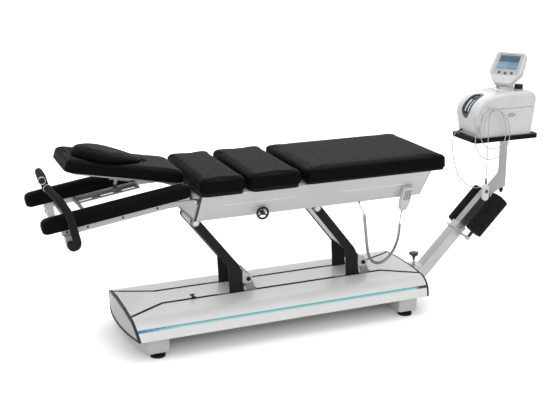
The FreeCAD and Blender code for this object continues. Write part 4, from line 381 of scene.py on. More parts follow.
def link_mesh(name, mesh, material, body=None):
    piece = bpy.data.objects.new(name, mesh)
    scene.collection.objects.link(piece)
    dress(mesh, material)
    if body:
        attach(piece, body)
    return piece


def mesh_from(bm, name):
    mesh = bpy.data.meshes.new(name)
    bm.to_mesh(mesh)
    bm.free()
    return mesh


def evaluated_mesh(piece):
    bpy.context.view_layer.update()
    graph = bpy.context.evaluated_depsgraph_get()
    return bpy.data.meshes.new_from_object(piece.evaluated_get(graph))


def spline_curve(name, points, radius, cyclic=False, order=3, resolution=8, bevel=4):
    curve = bpy.data.curves.new(name, "CURVE")
    curve.dimensions = "3D"
    spline = curve.splines.new("NURBS")
    spline.points.add(len(points) - 1)
    for point, at in zip(spline.points, points):
        point.co = (*at, 1.0)
    spline.order_u = order
    spline.use_endpoint_u = not cyclic
    spline.use_cyclic_u = cyclic
    spline.resolution_u = resolution
    curve.bevel_depth = radius
    curve.bevel_resolution = bevel
    curve.use_fill_caps = True
    piece = bpy.data.objects.new(name, curve)
    scene.collection.objects.link(piece)
    return piece


def tube(name, points, radius, material, body, slot, **form):
    """A thin round piece along a smooth line."""
    piece = spline_curve(name, points, radius, **form)
    piece.data.materials.append(material)
    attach(piece, body)


def surface_of(mesh):
    return BVHTree.FromPolygons([v.co for v in mesh.vertices], [p.vertices for p in mesh.polygons])


def label(side):
    return "right" if side < 0 else "left"


def metres(points):
    return [(x * MM + BASE_MIDDLE, y * MM, z * MM) for x, y, z in points]


def spline_points(points):
    """Closely spaced points along the smooth line through a route's control points."""
    guide = spline_curve("guide", points, 0.0, resolution=16)
    mesh = evaluated_mesh(guide)
    found = [v.co.copy() for v in mesh.vertices]
    bpy.data.objects.remove(guide)
    bpy.data.meshes.remove(mesh)
    return found


def path_length(points):
    return sum((b - a).length for a, b in zip(points, points[1:]))


# Cords, with the route points of the solids

SWITCH_CORD = [
    (1284, -112, 1112), (1284, -134, 1112), (1272, -146, 1090), (1253, -147, 1050), (1236, -147, 1002),
    (1232, -147, 946), (1248, -147, 894), (1288, -147, 852), (1344, -147, 832), (1402, -147, 844),
    (1447, -147, 886), (1470, -147, 944), (1470, -147, 1006), (1450, -147, 1066), (1410, -146, 1114),
    (1364, -144, 1141), (1322, -143, 1141), (1290, -140, 1112), (1272, -139, 1058), (1268, -139, 998),
    (1284, -139, 942), (1326, -139, 904), (1382, -139, 892), (1430, -139, 914), (1451, -139, 964),
    (1447, -139, 1020), (1429, -140, 1074), (1400, -147, 1118), (1362, -154, 1142), (1328, -156, 1142),
    (1315, -156, 1108), (1315.2, -156, 1078), (1316, -156, 727),
]
LINK_CABLE = [
    (1269, 60, 982), (1252, 60, 981), (1230, 60, 971), (1214, 60, 946), (1210, 60, 904), (1214, 60, 850),
    (1225, 60, 792), (1244, 60, 734), (1273, 60, 680), (1316, 60, 637), (1366, 59, 608), (1410, 56, 602),
    (1448, 52, 618), (1448, 17, 618),
]
CURLY_CORD = [
    (737, -170, 522), (731, -175, 466), (716, -180, 412), (690, -184, 362), (650, -187, 322),
    (602, -188, 304), (558, -188, 318), (530, -188, 362), (519, -187, 436), (511, -184, 520),
    (502, -180, 610),
]
UPPER_LEAD = [(498, -172, 634), (489, -152, 648), (487, -146, 668)]
LOWER_LEAD = [(745.23, -171.1, 587.6), (745.23, -164.9, 572.9), (740, -168, 549)]
CORD_DIAMETER = 0.005
WIRE_RADIUS, COIL_RADIUS, COIL_PITCH, COIL_STEPS = 0.0023, 0.0066, 0.0066, 14


def add_thin_cord(name, route, node, body):
    points = metres(route)
    length = path_length(spline_points(points))
    piece = spline_curve(name, points, CORD_DIAMETER / 2, resolution=12)
    piece.data.materials.append(M["cord_white"])
    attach(piece, body)
    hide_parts(node)


def add_curly_cord():
    """Straight leads and a tight helix between them, all one wire."""
    middle = spline_points(metres(CURLY_CORD))
    total = path_length(middle)
    count = round(total / COIL_PITCH) * COIL_STEPS
    line = []
    side = Vector((0, 1, 0))
    index, used = 0, 0.0
    for k in range(count + 1):
        goal = total * k / count
        while index < len(middle) - 2 and used + (middle[index + 1] - middle[index]).length < goal:
            used += (middle[index + 1] - middle[index]).length
            index += 1
        a, b = middle[index], middle[index + 1]
        ahead = (b - a).normalized()
        centre = a + ahead * (goal - used)
        side = (side - ahead * side.dot(ahead)).normalized()
        other = ahead.cross(side)
        ease = min(1.0, k / COIL_STEPS, (count - k) / COIL_STEPS)
        angle = 2 * pi * k / COIL_STEPS
        line.append(centre + (side * cos(angle) + other * sin(angle)) * COIL_RADIUS * ease)
    points = [Vector(p) for p in metres(LOWER_LEAD)] + line + [Vector(p) for p in metres(UPPER_LEAD)]
    guide = spline_curve("handset_cord_guide", points, WIRE_RADIUS, resolution=2, bevel=2)
    mesh = evaluated_mesh(guide)
    bpy.data.objects.remove(guide)
    path = spline_points(points)
    piece = link_mesh("handset_cord", mesh, M["cord_grey"], "deck")
    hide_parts("pendant_cord")
    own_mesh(piece)


# Padded pieces

CORNER_STEPS, EDGE_STEP, SMALLEST_CORNER = 10, 30.0, 4.0


def rounded_box(x, y, corner):
    """Outline maker: a rectangle with round corners, inset evenly, whose sides pull in a little."""
    lengthwise = max(2, int((x[1] - x[0] - 2 * corner) / EDGE_STEP))
    crosswise = max(2, int((y[1] - y[0] - 2 * corner) / EDGE_STEP))

    def outline(inset, pull=0.0):
        radius = max(corner - inset, SMALLEST_CORNER)
        x0, x1, y0, y1 = x[0] + inset, x[1] - inset, y[0] + inset, y[1] - inset
        centres = ((x1 - radius, y1 - radius, lengthwise), (x0 + radius, y1 - radius, crosswise),
                   (x0 + radius, y0 + radius, lengthwise), (x1 - radius, y0 + radius, crosswise))
        bends = []
        for number, (cx, cy, _) in enumerate(centres):
            angles = [radians(90 * number + 90 * k / CORNER_STEPS) for k in range(CORNER_STEPS + 1)]
            bends.append([(cx + radius * cos(a), cy + radius * sin(a)) for a in angles])
        points = []
        for number, bend in enumerate(bends):
            points += bend
            (ax, ay), (bx, by) = bend[-1], bends[(number + 1) % 4][0]
            pieces = centres[number][2]
            points += [(ax + (bx - ax) * k / pieces, ay + (by - ay) * k / pieces) for k in range(1, pieces)]
        mx, my = (x0 + x1) / 2, (y0 + y1) / 2
        hx, hy = (x1 - x0) / 2, (y1 - y0) / 2
        shaped = []
        for px, py in points:
            u, v = (px - mx) / hx, (py - my) / hy
            px -= pull * u * abs(u) ** 8 * (1 - v * v)
            py -= pull * v * abs(v) ** 8 * (1 - u * u)
            shaped.append((px, py))
        return shaped
    return outline


def lofted(name, rings):
    """A closed mesh through rings of (x, y, z) points in millimetres that all have the same count."""
    bm = bmesh.new()
    loops = [[bm.verts.new(tuple(c * MM for c in p)) for p in ring] for ring in rings]
    for low, high in zip(loops, loops[1:]):
        n = len(low)
        for i in range(n):
            bm.faces.new((low[i], low[(i + 1) % n], high[(i + 1) % n], high[i]))
    bm.faces.new(list(reversed(loops[0])))
    bm.faces.new(loops[-1])
    bmesh.ops.recalc_face_normals(bm, faces=bm.faces)
    return mesh_from(bm, name)


def remeshed(piece, voxel):
    modifier = piece.modifiers.new("remesh", "REMESH")
    modifier.mode = "VOXEL"
    modifier.voxel_size = voxel
    mesh = evaluated_mesh(piece)
    piece.modifiers.clear()
    piece.data = mesh


CLOTH_PRESSURE, CLOTH_FRAMES, HELD_BAND = 4.0, 20, 0.004


def swell(piece, cap, floor):
    """Inflate the piece with a short cloth simulation, held where it rests, and cap how far a point moves."""
    start = [v.co.copy() for v in piece.data.vertices]
    held = piece.vertex_groups.new(name="held")
    held.add([i for i, c in enumerate(start) if c.z < floor + HELD_BAND], 1.0, "REPLACE")
    cloth = piece.modifiers.new("cloth", "CLOTH")
    settings = cloth.settings
    settings.vertex_group_mass = "held"
    settings.use_pressure = True
    settings.uniform_pressure_force = CLOTH_PRESSURE
    settings.effector_weights.gravity = 0.0
    settings.tension_stiffness = 30.0
    settings.compression_stiffness = 20.0
    settings.bending_stiffness = 4.0
    settings.quality = 4
    cloth.collision_settings.use_collision = False
    cloth.point_cache.frame_start, cloth.point_cache.frame_end = 1, CLOTH_FRAMES
    for number in range(1, CLOTH_FRAMES + 1):
        scene.frame_set(number)
    mesh = evaluated_mesh(piece)
    moved = [v.co.copy() for v in mesh.vertices]
    bpy.data.meshes.remove(mesh)
    piece.modifiers.clear()
    scene.frame_set(1)
    for vertex, a, b in zip(piece.data.vertices, start, moved):
        step = b - a
        if step.length > cap:
            step *= cap / step.length
        vertex.co = a + step


def relaxed(piece):
    bm = bmesh.new()
    bm.from_mesh(piece.data)
    for _ in range(2):
        bmesh.ops.smooth_vert(bm, verts=bm.verts, factor=0.5,
                              use_axis_x=True, use_axis_y=True, use_axis_z=True)
    bm.to_mesh(piece.data)
    bm.free()


SEWN_RADIUS = 0.0013


def seam(name, piece, outline, centre, z, body, matrix=None):
    """A sewn line round a pad at one height, laid on its surface."""
    tree = surface_of(piece.data)
    points = []
    for px, py in outline:
        outside = Vector((px, py, 0)) * MM
        middle = Vector((min(max(px, centre[0]), centre[1]), min(max(py, centre[2]), centre[3]), 0)) * MM
        inward = (middle - outside).normalized()
        origin = Vector((outside.x, outside.y, z * MM)) - inward * 0.05
        hit = tree.ray_cast(origin, inward)[0]
        if hit:
            points.append(hit)
    if matrix:
        points = [matrix @ p for p in points]
    tube(name, points, SEWN_RADIUS, M["welt"], body, "vinyl_black", bevel=2, cyclic=True, resolution=3)


def add_pad(name, outline, levels, node, body, matrix=None, voxel=0.006, cap=0.006, shape=None, seams=(),
            centre=None, fill=0.8):
    """A pad lofted through its levels of (height, inset, pull), swollen and sewn, in place of its solid."""
    rings = [[(px, py, z) for px, py in outline(inset, pull)] for z, inset, pull in levels]
    piece = link_mesh(name, lofted(name, rings), M["vinyl"])
    remeshed(piece, voxel)
    swell(piece, cap, levels[0][0] * MM)
    relaxed(piece)
    if shape:
        for vertex in piece.data.vertices:
            vertex.co = shape(vertex.co)
    for number, z in enumerate(seams):
        seam(name + "_seam_" + str(number + 1), piece, outline(0.0), centre, z, body, matrix)
    if matrix:
        piece.data.transform(matrix)
    dress(piece.data, M["vinyl"])
    piece.modifiers.new("smooth", "SUBSURF").render_levels = 1
    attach(piece, body)
    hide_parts(node)


def firm_levels(low, high):
    """Bottom to top of a firm boxed cushion with a soft crown."""
    return ((low, 10.0, 0.0), (low + 3.0, 4.0, 1.0), (low + 9.0, 1.0, 1.0), (low + 24.0, 0.0, 1.0),
            (high - 22.0, 0.0, 1.0), (high - 12.0, 2.0, 1.0), (high - 5.0, 7.0, 1.0), (high - 1.5, 18.0, 1.0),
            (high, 40.0, 0.0))


def node_span(node):
    low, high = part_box(node)
    return [(low[i] / MM, high[i] / MM) for i in range(3)]


def tilt_about(joint, degrees):
    at = Vector(joints[joint]["pos_m"])
    return Matrix.Translation(at) @ Matrix.Rotation(radians(degrees), 4, "Y") @ Matrix.Translation(-at)


def inner(x, y, reach):
    return x[0] + reach, x[1] - reach, y[0] + reach, y[1] - reach


CUSHION_CORNER, CROWN_ROOM, SEAM_REACH = 42.0, 3.0, 60.0
LOW_SEAM, HIGH_SEAM = 9.0, 19.0
UPPER_THORACIC, LOWER_THORACIC = 254.0, 298.0


def add_cushions():
    def cushion(name, x, y, z, node, body, **size):
        add_pad(name, rounded_box(x, y, CUSHION_CORNER), firm_levels(z[0], z[1] - CROWN_ROOM), node, body,
                seams=(z[0] + LOW_SEAM, z[1] - HIGH_SEAM), centre=inner(x, y, SEAM_REACH), **size)

    x, y, z = node_span("lumbar_cushion")
    cushion("lumbar_pad", x, y, z, "lumbar_cushion", "lumbar", voxel=0.008, cap=0.007)
    x, y, z = node_span("thoracic_cushions")
    cushion("upper_thoracic_pad", (x[0], x[0] + UPPER_THORACIC), y, z, "thoracic_cushions", "deck")
    cushion("lower_thoracic_pad", (x[1] - LOWER_THORACIC, x[1]), y, z, "thoracic_cushions", "deck")


HEAD_TILT = 11.3
HEAD_LENGTH, HEAD_HEIGHT, HEAD_Y, HEAD_CORNER = 627.0, 66.0, (-190.0, 190.0), 48.0
PILLOW_SET_IN, PILLOW_LENGTH, PILLOW_HALF, PILLOW_WIDEST = 58.0, 372.0, 150.0, 0.42
PILLOW_POINTS, PILLOW_TAPER = 96, 1.4
VALLEY_OUT, VALLEY_HALF, VALLEY_DEPTH = 6.0, 34.0, 14.0
ARMREST_HINGE = [c / MM for c in joints["armrest_tilt"]["pos_m"]]
ARMREST_SLOPE = tilt_about("armrest_tilt", -8.5)
ARMREST_LENGTH, ARMREST_HEIGHT, ARMREST_Y, ARMREST_CORNER = 773.0, 72.0, (203.0, 307.0), 40.0


def head_place():
    hinge = joints["head_tilt"]["pos_m"]
    right = hinge[0] / MM - 32.0
    low = hinge[2] / MM + 27.0
    return right - HEAD_LENGTH, right, low, low + HEAD_HEIGHT


def pillow_outline(grow=0.0):
    """Egg outline with its point towards the table, grown evenly."""
    back = head_place()[0] + PILLOW_SET_IN
    widest = back + PILLOW_WIDEST * PILLOW_LENGTH
    points = []
    for k in range(PILLOW_POINTS):
        t = 2 * pi * k / PILLOW_POINTS
        c, s = cos(t), sin(t)
        if c >= 0:
            px = widest + (back + PILLOW_LENGTH - widest) * c ** PILLOW_TAPER
            py = PILLOW_HALF * copysign(abs(s) ** PILLOW_TAPER, s)
        else:
            px = widest + (widest - back) * c
            py = PILLOW_HALF * s
        size = hypot(px - widest, py)
        px += (px - widest) / size * grow
        py += py / size * grow
        points.append((px, py))
    return points, widest


def add_head():
    left, right, low, high = head_place()
    tilt = tilt_about("head_tilt", HEAD_TILT)
    outline = rounded_box((left, right), HEAD_Y, HEAD_CORNER)
    edge, middle = pillow_outline()
    reach = [(atan2(py, px - middle), hypot(px - middle, py)) for px, py in edge]

    def hollow(p):
        """A valley in the cushion round the pillow."""
        px, py, pz = p.x / MM, p.y / MM, p.z / MM
        if pz < low + 30.0:
            return p
        angle, far = atan2(py, px - middle), hypot(px - middle, py)
        near = min(reach, key=lambda item: abs((item[0] - angle + pi) % (2 * pi) - pi))[1]
        gap = abs(far - near - VALLEY_OUT)
        if gap < VALLEY_HALF:
            pz -= VALLEY_DEPTH / 2 * (1 + cos(pi * gap / VALLEY_HALF))
        return Vector((p.x, p.y, pz * MM))

    add_pad("head_pad", outline, firm_levels(low + 0.3, high - 2.0), "head_cushion", "head", tilt,
            shape=hollow, seams=(low + LOW_SEAM, high - 20.0),
            centre=inner((left, right), HEAD_Y, SEAM_REACH))

    def egg(inset, pull):
        return pillow_outline(-inset)[0]

    base = high - 6.0

    def wedge(p):
        """The pillow falls from its round back to a low point."""
        share = (p.x / MM - left - PILLOW_SET_IN) / PILLOW_LENGTH
        lift = p.z / MM - base
        return Vector((p.x, p.y, (base + lift * (1 - 0.5 * min(max(share, 0.0), 1.0) ** 2)) * MM))

    steps = ((0.0, 6.0), (6.0, 1.0), (16.0, 1.0), (30.0, 4.0), (41.0, 13.0), (48.0, 30.0), (52.0, 62.0),
             (53.0, 100.0))
    levels = [(base + rise, inset, 0) for rise, inset in steps]
    add_pad("pillow", egg, levels, "face_pillow", "head", tilt, cap=0.005, shape=wedge, fill=0.9)


def add_armrests():
    right = ARMREST_HINGE[0] - 12.0
    left = right - ARMREST_LENGTH
    low = ARMREST_HINGE[2] + 41.3
    high = low + ARMREST_HEIGHT
    levels = ((low, 16.0, 0), (low + 4.0, 8.0, 1.0), (low + 12.0, 3.5, 1.5), (low + 26.0, 2.0, 1.5),
              (high - 30.0, 2.5, 1.5), (high - 18.0, 6.0, 1.5), (high - 8.0, 14.0, 1.0),
              (high - 2.5, 26.0, 0), (high, 40.0, 0))
    for side in (-1, 1):
        y = sorted(side * edge for edge in ARMREST_Y)
        outline = rounded_box((left, right), y, ARMREST_CORNER)
        add_pad(label(side) + "_armrest_pad", outline, levels, "armrest_pads", "armrests", ARMREST_SLOPE,
                cap=0.004, seams=(low + 8.0, high - 16.0),
                centre=(left + 52.0, right - 52.0, y[0] + 50.0, y[1] - 50.0))


# Hard detail

def bevelled_box(name, size, radius):
    bm = bmesh.new()
    bmesh.ops.create_cube(bm, size=1.0)
    bmesh.ops.scale(bm, vec=Vector(size) * MM, verts=bm.verts)
    bmesh.ops.bevel(bm, geom=bm.edges[:], offset=radius * MM, segments=3, affect="EDGES", profile=0.5)
    return mesh_from(bm, name)


def turned(name, profile, segments=32):
    """A solid of revolution about Z through (radius, height) pairs in millimetres."""
    angles = [2 * pi * k / segments for k in range(segments)]
    return lofted(name, [[(r * cos(a), r * sin(a), height) for a in angles] for r, height in profile])


def screw_head(name, radius, height):
    shares = ((1.0, 0.0), (1.0, 0.5), (0.86, 0.9), (0.62, 1.0), (0.5, 1.0), (0.46, 0.35), (0.1, 0.3))
    return turned(name, [(radius * r, height * h) for r, h in shares], 24)


def shift(*at):
    return Matrix.Translation(Vector(at) * MM)


def facing(at, direction):
    return shift(*at) @ Vector(direction).to_track_quat("Z", "Y").to_matrix().to_4x4()


def put(name, mesh, matrix, material, body):
    mesh.transform(matrix)
    link_mesh(name, mesh, material, body)


DISPLAY_YAW, DISPLAY_LEAN = radians(-55.0), radians(-42.0)
DISPLAY_FRONT = -48.0
DISPLAY_HINGE = Vector(joints["display_tilt"]["pos_m"])
DISPLAY_UPRIGHT = Matrix.Translation(DISPLAY_HINGE) @ Matrix.Rotation(DISPLAY_YAW, 4, "Z")
DISPLAY_LEANT = DISPLAY_UPRIGHT @ Matrix.Rotation(DISPLAY_LEAN, 4, "X")
PANEL_HALF_WIDTH, PANEL_MIDDLE, PANEL_HALF_HEIGHT, PANEL_CORNER = 0.082, 0.117, 0.079, 0.016
SCREEN_WIDTH, SCREEN_HEIGHT, SCREEN_LOW, SCREEN_BULGE = 135.6, 109.6, 77.2, 0.8
BORDER_TOP, BORDER_SIDE = 0.92, 0.45


def display_case_material():
    """White plastic with a grey panel round the screen and keys, found in the display's own upright frame."""
    s = Surface("display_case", 0.26, coat=0.2)
    inputs = {"Location": DISPLAY_HINGE, "Rotation": (DISPLAY_LEAN, 0.0, DISPLAY_YAW), "Vector": s.coords}
    local = s.add("ShaderNodeMapping", inputs, vector_type="TEXTURE")
    x, y, z = s.add("ShaderNodeSeparateXYZ", {"Vector": local.outputs["Vector"]}).outputs
    beside = s.beyond(x, PANEL_HALF_WIDTH - PANEL_CORNER)
    rise = s.maths("SUBTRACT", z, PANEL_MIDDLE)
    away = s.distance(beside, s.beyond(rise, PANEL_HALF_HEIGHT - PANEL_CORNER))
    front = s.maths("LESS_THAN", y, (DISPLAY_FRONT + 1.5) * MM)
    inside = s.ranged(away, (PANEL_CORNER - 0.0006, PANEL_CORNER + 0.0006), (1.0, 0.0))
    panel = s.maths("MULTIPLY", inside, front)
    s.colour(s.ramp(panel, ((0.1, grey(0.53, 0.02)), (0.9, grey(0.37, 0.02)))))
    s.roughness(s.noise(30.0), 0.2, 0.3)
    return s.bump(s.noise(500.0, 2.0), 0.00004, 0.4).material


def screen_material():
    """A lit display with plain blocks of colour and no characters."""
    s = Surface("screen_glass", 0.2, coat=0.1, specular=0.3)
    uv = s.add("ShaderNodeTexCoord", {}).outputs["UV"]
    across, up, _ = s.add("ShaderNodeSeparateXYZ", {"Vector": uv}).outputs
    rows = s.ramp(up, (
        (0.0, (0.12, 0.19, 0.27)), (0.12, (0.15, 0.22, 0.32)), (0.36, (0.12, 0.19, 0.29)),
        (0.50, (0.02, 0.055, 0.095)), (0.84, (0.04, 0.09, 0.14))), "CONSTANT")
    halves = s.ramp(across, ((0.0, (1.0, 1.0, 1.0)), (0.52, (0.72, 0.8, 0.82))), "CONSTANT")
    brick = s.add("ShaderNodeTexBrick", {
        "Color1": (1.0, 1.0, 1.0, 1.0), "Color2": (0.82, 0.88, 0.95, 1.0), "Mortar": (0.35, 0.42, 0.5, 1.0),
        "Scale": 6.0, "Mortar Size": 0.025, "Brick Width": 1.5, "Row Height": 0.75, "Vector": uv}, offset=0.0)
    picture = s.mixed(s.mixed(rows, halves, 1.0, "MULTIPLY"), brick.outputs["Color"], 0.7, "MULTIPLY")
    from_middle = s.maths("ABSOLUTE", s.maths("SUBTRACT", across, 0.5))
    border = s.maths("MAXIMUM", s.maths("GREATER_THAN", up, BORDER_TOP),
                     s.maths("GREATER_THAN", from_middle, BORDER_SIDE))
    whole = s.mixed(picture, (*grey(0.24), 1.0), border)
    s.colour(whole)
    s.glow(whole, 0.4)
    s.roughness(s.noise(40.0), 0.08, 0.16)
    return s.material


def add_display_detail():
    """The bulging face of the screen, and a raised frame round it."""
    width, height, low, front = SCREEN_WIDTH, SCREEN_HEIGHT, SCREEN_LOW, DISPLAY_FRONT
    bm = bmesh.new()
    layer = bm.loops.layers.uv.new("UVMap")
    columns, rows = 12, 10
    grid = {}
    for i in range(columns + 1):
        for j in range(rows + 1):
            u, v = i / columns, j / rows
            bulge = SCREEN_BULGE * (1 - (2 * u - 1) ** 2) * (1 - (2 * v - 1) ** 2)
            at = Vector(((u - 0.5) * width, front + 0.4 - bulge, low + v * height)) * MM
            grid[i, j] = bm.verts.new(at)
    for i in range(columns):
        for j in range(rows):
            corners = ((i, j), (i + 1, j), (i + 1, j + 1), (i, j + 1))
            face = bm.faces.new([grid[c] for c in corners])
            for loop, (ci, cj) in zip(face.loops, corners):
                loop[layer].uv = (ci / columns, cj / rows)
    mesh = mesh_from(bm, "screen_face")
    put("screen_face", mesh, DISPLAY_LEANT, screen_material(), "display")

    bar, depth, out = 5.0, 3.2, 2.2
    for name, size, x, z in (
        ("bezel_top", (width + 2 * bar, depth, bar), 0, low + height + out),
        ("bezel_bottom", (width + 2 * bar, depth, bar), 0, low - out),
        ("bezel_left", (bar, depth, height), -width / 2 - out, low + height / 2),
        ("bezel_right", (bar, depth, height), width / 2 + out, low + height / 2),
    ):
        put(name, bevelled_box(name, size, 1.2), DISPLAY_LEANT @ shift(x, front - 0.4, z), M["bezel"],
            "display")


BARREL_END, KNUCKLE_START, KNUCKLE_END, KNUCKLE_RADIUS = 37.4, 38.0, 50.0, 13.6
FOOT_BACK, FOOT_HEIGHT, FOOT_DROP = 3.0, 19.0, 9.8


def add_display_hinge():
    """The round knuckles between the display and its neck."""
    axis = Matrix.Rotation(radians(90.0), 4, "Y")
    end, start, stop, radius = BARREL_END, KNUCKLE_START, KNUCKLE_END, KNUCKLE_RADIUS
    barrel = turned("barrel", ((0.5, -end), (radius - 1.5, -end), (radius, 1.5 - end),
                               (radius, end - 1.5), (radius - 1.5, end), (0.5, end)), 40)
    put("display_hinge_barrel", barrel, DISPLAY_LEANT @ axis, M["unit_white"], "display")
    for side in (-1, 1):
        knuckle = turned("knuckle", ((0.5, start), (radius - 1.0, start), (radius, start + 1.0),
                                     (radius, stop - 2.0), (radius - 2.0, stop), (0.5, stop)), 40)
        turn = Matrix.Rotation(radians(90.0 * side), 4, "Y")
        put("display_knuckle_" + label(side), knuckle, DISPLAY_UPRIGHT @ turn, M["unit_white"], "neck")
        foot = bevelled_box("foot", (stop - start, 2 * radius, FOOT_HEIGHT), 1.5)
        at = shift(side * (start + stop) / 2, FOOT_BACK, -FOOT_DROP)
        put("display_knuckle_foot_" + label(side), foot, DISPLAY_UPRIGHT @ at, M["unit_white"], "neck")


PULLEY_AT, PANEL_SLOPE = (BASE_MIDDLE + 1.303, 0, 1.139), radians(-45.0)


def add_pulley_cradle():
    """Bright cheeks beside the pulley and a dark plate above it, just inside the window of the unit."""
    place = Matrix.Translation(PULLEY_AT) @ Matrix.Rotation(PANEL_SLOPE, 4, "Y")
    tree = surface_of(nodes["unit_front_panel"].data)
    inward = place.to_3x3() @ Vector((0, 0, -1))

    def rim_height(along):
        hit = tree.ray_cast(place @ (Vector((along, -38.0, 80.0)) * MM), inward)[0]
        return (place.inverted() @ hit).z / MM if hit else 0.0

    bevel, steps = 2.0, 12
    for name, (start, stop), (near, far), (top, bottom), material, slot in (
        ("pulley_cheek_right", (-58.0, 24.0), (-24.0, -10.0), (5.0, 13.0), "pulley", "pulley_silver"),
        ("pulley_cheek_left", (-58.0, 24.0), (10.0, 24.0), (5.0, 13.0), "pulley", "pulley_silver"),
        ("window_plate", (30.0, 62.0), (-23.0, 23.0), (3.6, 6.0), "panel", "panel_black"),
    ):
        rings = []
        for k in range(steps + 1):
            along = start + (stop - start) * k / steps
            high, low = rim_height(along) - top, rim_height(along) - bottom
            section = ((near, low), (far, low), (far, high - bevel), (far - bevel, high),
                       (near + bevel, high), (near, high - bevel))
            rings.append([(along, y, z) for y, z in section])
        put(name, lofted(name, rings), place, M[material], "mast")


SEAM_Y, SEAM_FLARE_X, SEAM_SPREAD = 0.093, 0.658, 100.0 / 190.0
SEAM_STEP, SEAM_STEPS, BEAD_RADIUS, BEAD_SUNK = 0.006, 139, 0.0052, 0.0012


def add_seam_beads():
    """Raised rubber beads along the seam strips of the base covers, broken at the arm slots."""
    tree = surface_of(nodes["base_gaskets"].data)
    for side in (-1, 1):
        runs, run = [], []
        for k in range(-SEAM_STEPS, SEAM_STEPS + 1):
            x = k * SEAM_STEP
            y = SEAM_Y + max(0.0, abs(x) - SEAM_FLARE_X) * SEAM_SPREAD
            hit = tree.ray_cast(Vector((BASE_MIDDLE + x, side * y, 0.3)), Vector((0, 0, -1)), 0.16)[0]
            if hit:
                run.append(hit - Vector((0, 0, BEAD_SUNK)))
            if (not hit or k == SEAM_STEPS) and run:
                runs.append(run)
                run = []
        for number, points in enumerate(r for r in runs if len(r) > 3):
            tube("seam_bead_%s_%d" % (label(side), number + 1), points, BEAD_RADIUS, M["gasket"], "base",
                 "trim_black", resolution=2)


HANDSET_AT, HANDSET_LEAN = (BASE_MIDDLE + 0.74523, -0.212166, 0.68429), radians(23.0)
KEY_SIZE, KEY_FRONT, FIRST_KEY, KEY_COLUMN, KEY_ROW = (11.0, 4.0, 7.5), -13.4, 60.0, 15.0, 11.5


def add_handset_keys():
    place = Matrix.Translation(HANDSET_AT) @ Matrix.Rotation(HANDSET_LEAN, 4, "X")
    for row in range(6):
        for column in range(3):
            mesh = bevelled_box("handset_key", KEY_SIZE, 1.4)
            at = shift(KEY_COLUMN * (column - 1), KEY_FRONT, FIRST_KEY - KEY_ROW * row)
            put("handset_key_%d_%d" % (row + 1, column + 1), mesh, place @ at, M["handset_key"], "deck")


WHEEL_GRIP_RADIUS = 0.0058


def add_wheel_rim():
    """The thick round grip of the lock wheel."""
    at = Vector(joints["lock_wheel_turn"]["pos_m"])
    low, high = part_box("lock_wheel")
    radius = (high.z - low.z) / 2 - 0.0045
    angles = [pi * k / 16 for k in range(32)]
    points = [(at.x + radius * cos(a), low.y + 0.006, at.z + radius * sin(a)) for a in angles]
    tube("lock_wheel_grip", points, WHEEL_GRIP_RADIUS, M["black_plastic"], "lock_wheel", "knob_black",
         cyclic=True, resolution=3)


GROOVES, GROOVE_DROP, GROOVE_END, GROOVE_STEPS = ((-353.8, 64.2), (324.2, 739.2)), 76.0, 8.0, 14


def add_groove_highlights():
    """Painted highlights: pale lines along the grooves in the deck sides, where the lower lip of each groove
    catches the light.
    """
    tree = surface_of(nodes["side_rails"].data)
    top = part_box("side_rails")[1].z
    for side in (-1, 1):
        for number, (start, stop) in enumerate(GROOVES):
            points = []
            for k in range(GROOVE_STEPS + 1):
                x = start + GROOVE_END + (stop - start - 2 * GROOVE_END) * k / GROOVE_STEPS
                origin = Vector((BASE_MIDDLE + x * MM, side * 0.5, top - GROOVE_DROP * MM))
                hit = tree.ray_cast(origin, Vector((0, -side, 0)))[0]
                if hit:
                    points.append(hit)
            # Each line is a painted highlight, not a part of the rail.
            tube("rail_line_%s_%d" % (label(side), number + 1), points, 0.0026, M["groove"], "deck",
                 "painted_white", resolution=4)


GRIP_END_BACK, GRIP_END_Y, GRIP_END_RISE, GRIP_END_OUT = 689.0, 79.0, 210.0, (-20.0, -246.0, 12.0)
RAIL_SCREWS_BACK, RAIL_SCREW_Y, RAIL_SCREW_RISE = (664.0, 560.0, 380.0, 200.0), 270.0, 25.0


def add_armrest_detail():
    """Black plugs with bright rings in the free ends of the hand grips, and screws along the rails."""
    def put_on(name, mesh, back, y, rise, out, material, slot):
        at = ARMREST_HINGE[0] - back, y, ARMREST_HINGE[2] + rise
        put(name, mesh, ARMREST_SLOPE @ facing(at, out), M[material], "armrests")

    for side in (-1, 1):
        end = GRIP_END_BACK, side * GRIP_END_Y, GRIP_END_RISE
        out = Vector((GRIP_END_OUT[0], side * GRIP_END_OUT[1], GRIP_END_OUT[2])).normalized()
        ring = turned("grip_ring", ((20.2, -4.0), (21.2, -3.2), (21.2, 0.6), (20.0, 1.6), (16.4, 1.6),
                                    (16.0, 0.4), (0.5, 0.3)))
        put_on(label(side) + "_grip_ring", ring, *end, out, "steel", "bright_steel")
        plug = turned("grip_plug", ((16.0, 0.4), (16.0, 2.4), (14.4, 3.8), (8.0, 4.6), (0.5, 4.8)))
        put_on(label(side) + "_grip_plug", plug, *end, out, "black_plastic", "knob_black")
    for side in (-1, 1):
        for number, back in enumerate(RAIL_SCREWS_BACK):
            put_on("%s_rail_screw_%d" % (label(side), number + 1), screw_head("screw", 5.5, 3.0), back,
                   side * RAIL_SCREW_Y, RAIL_SCREW_RISE, (0, side, 0), "black_plastic", "knob_black")


FIRST_MARK, MARK_STEP, MAST_FACE, FORK_SCREW = 90.0, 24.0, 35.0, (374.0, 34.0)


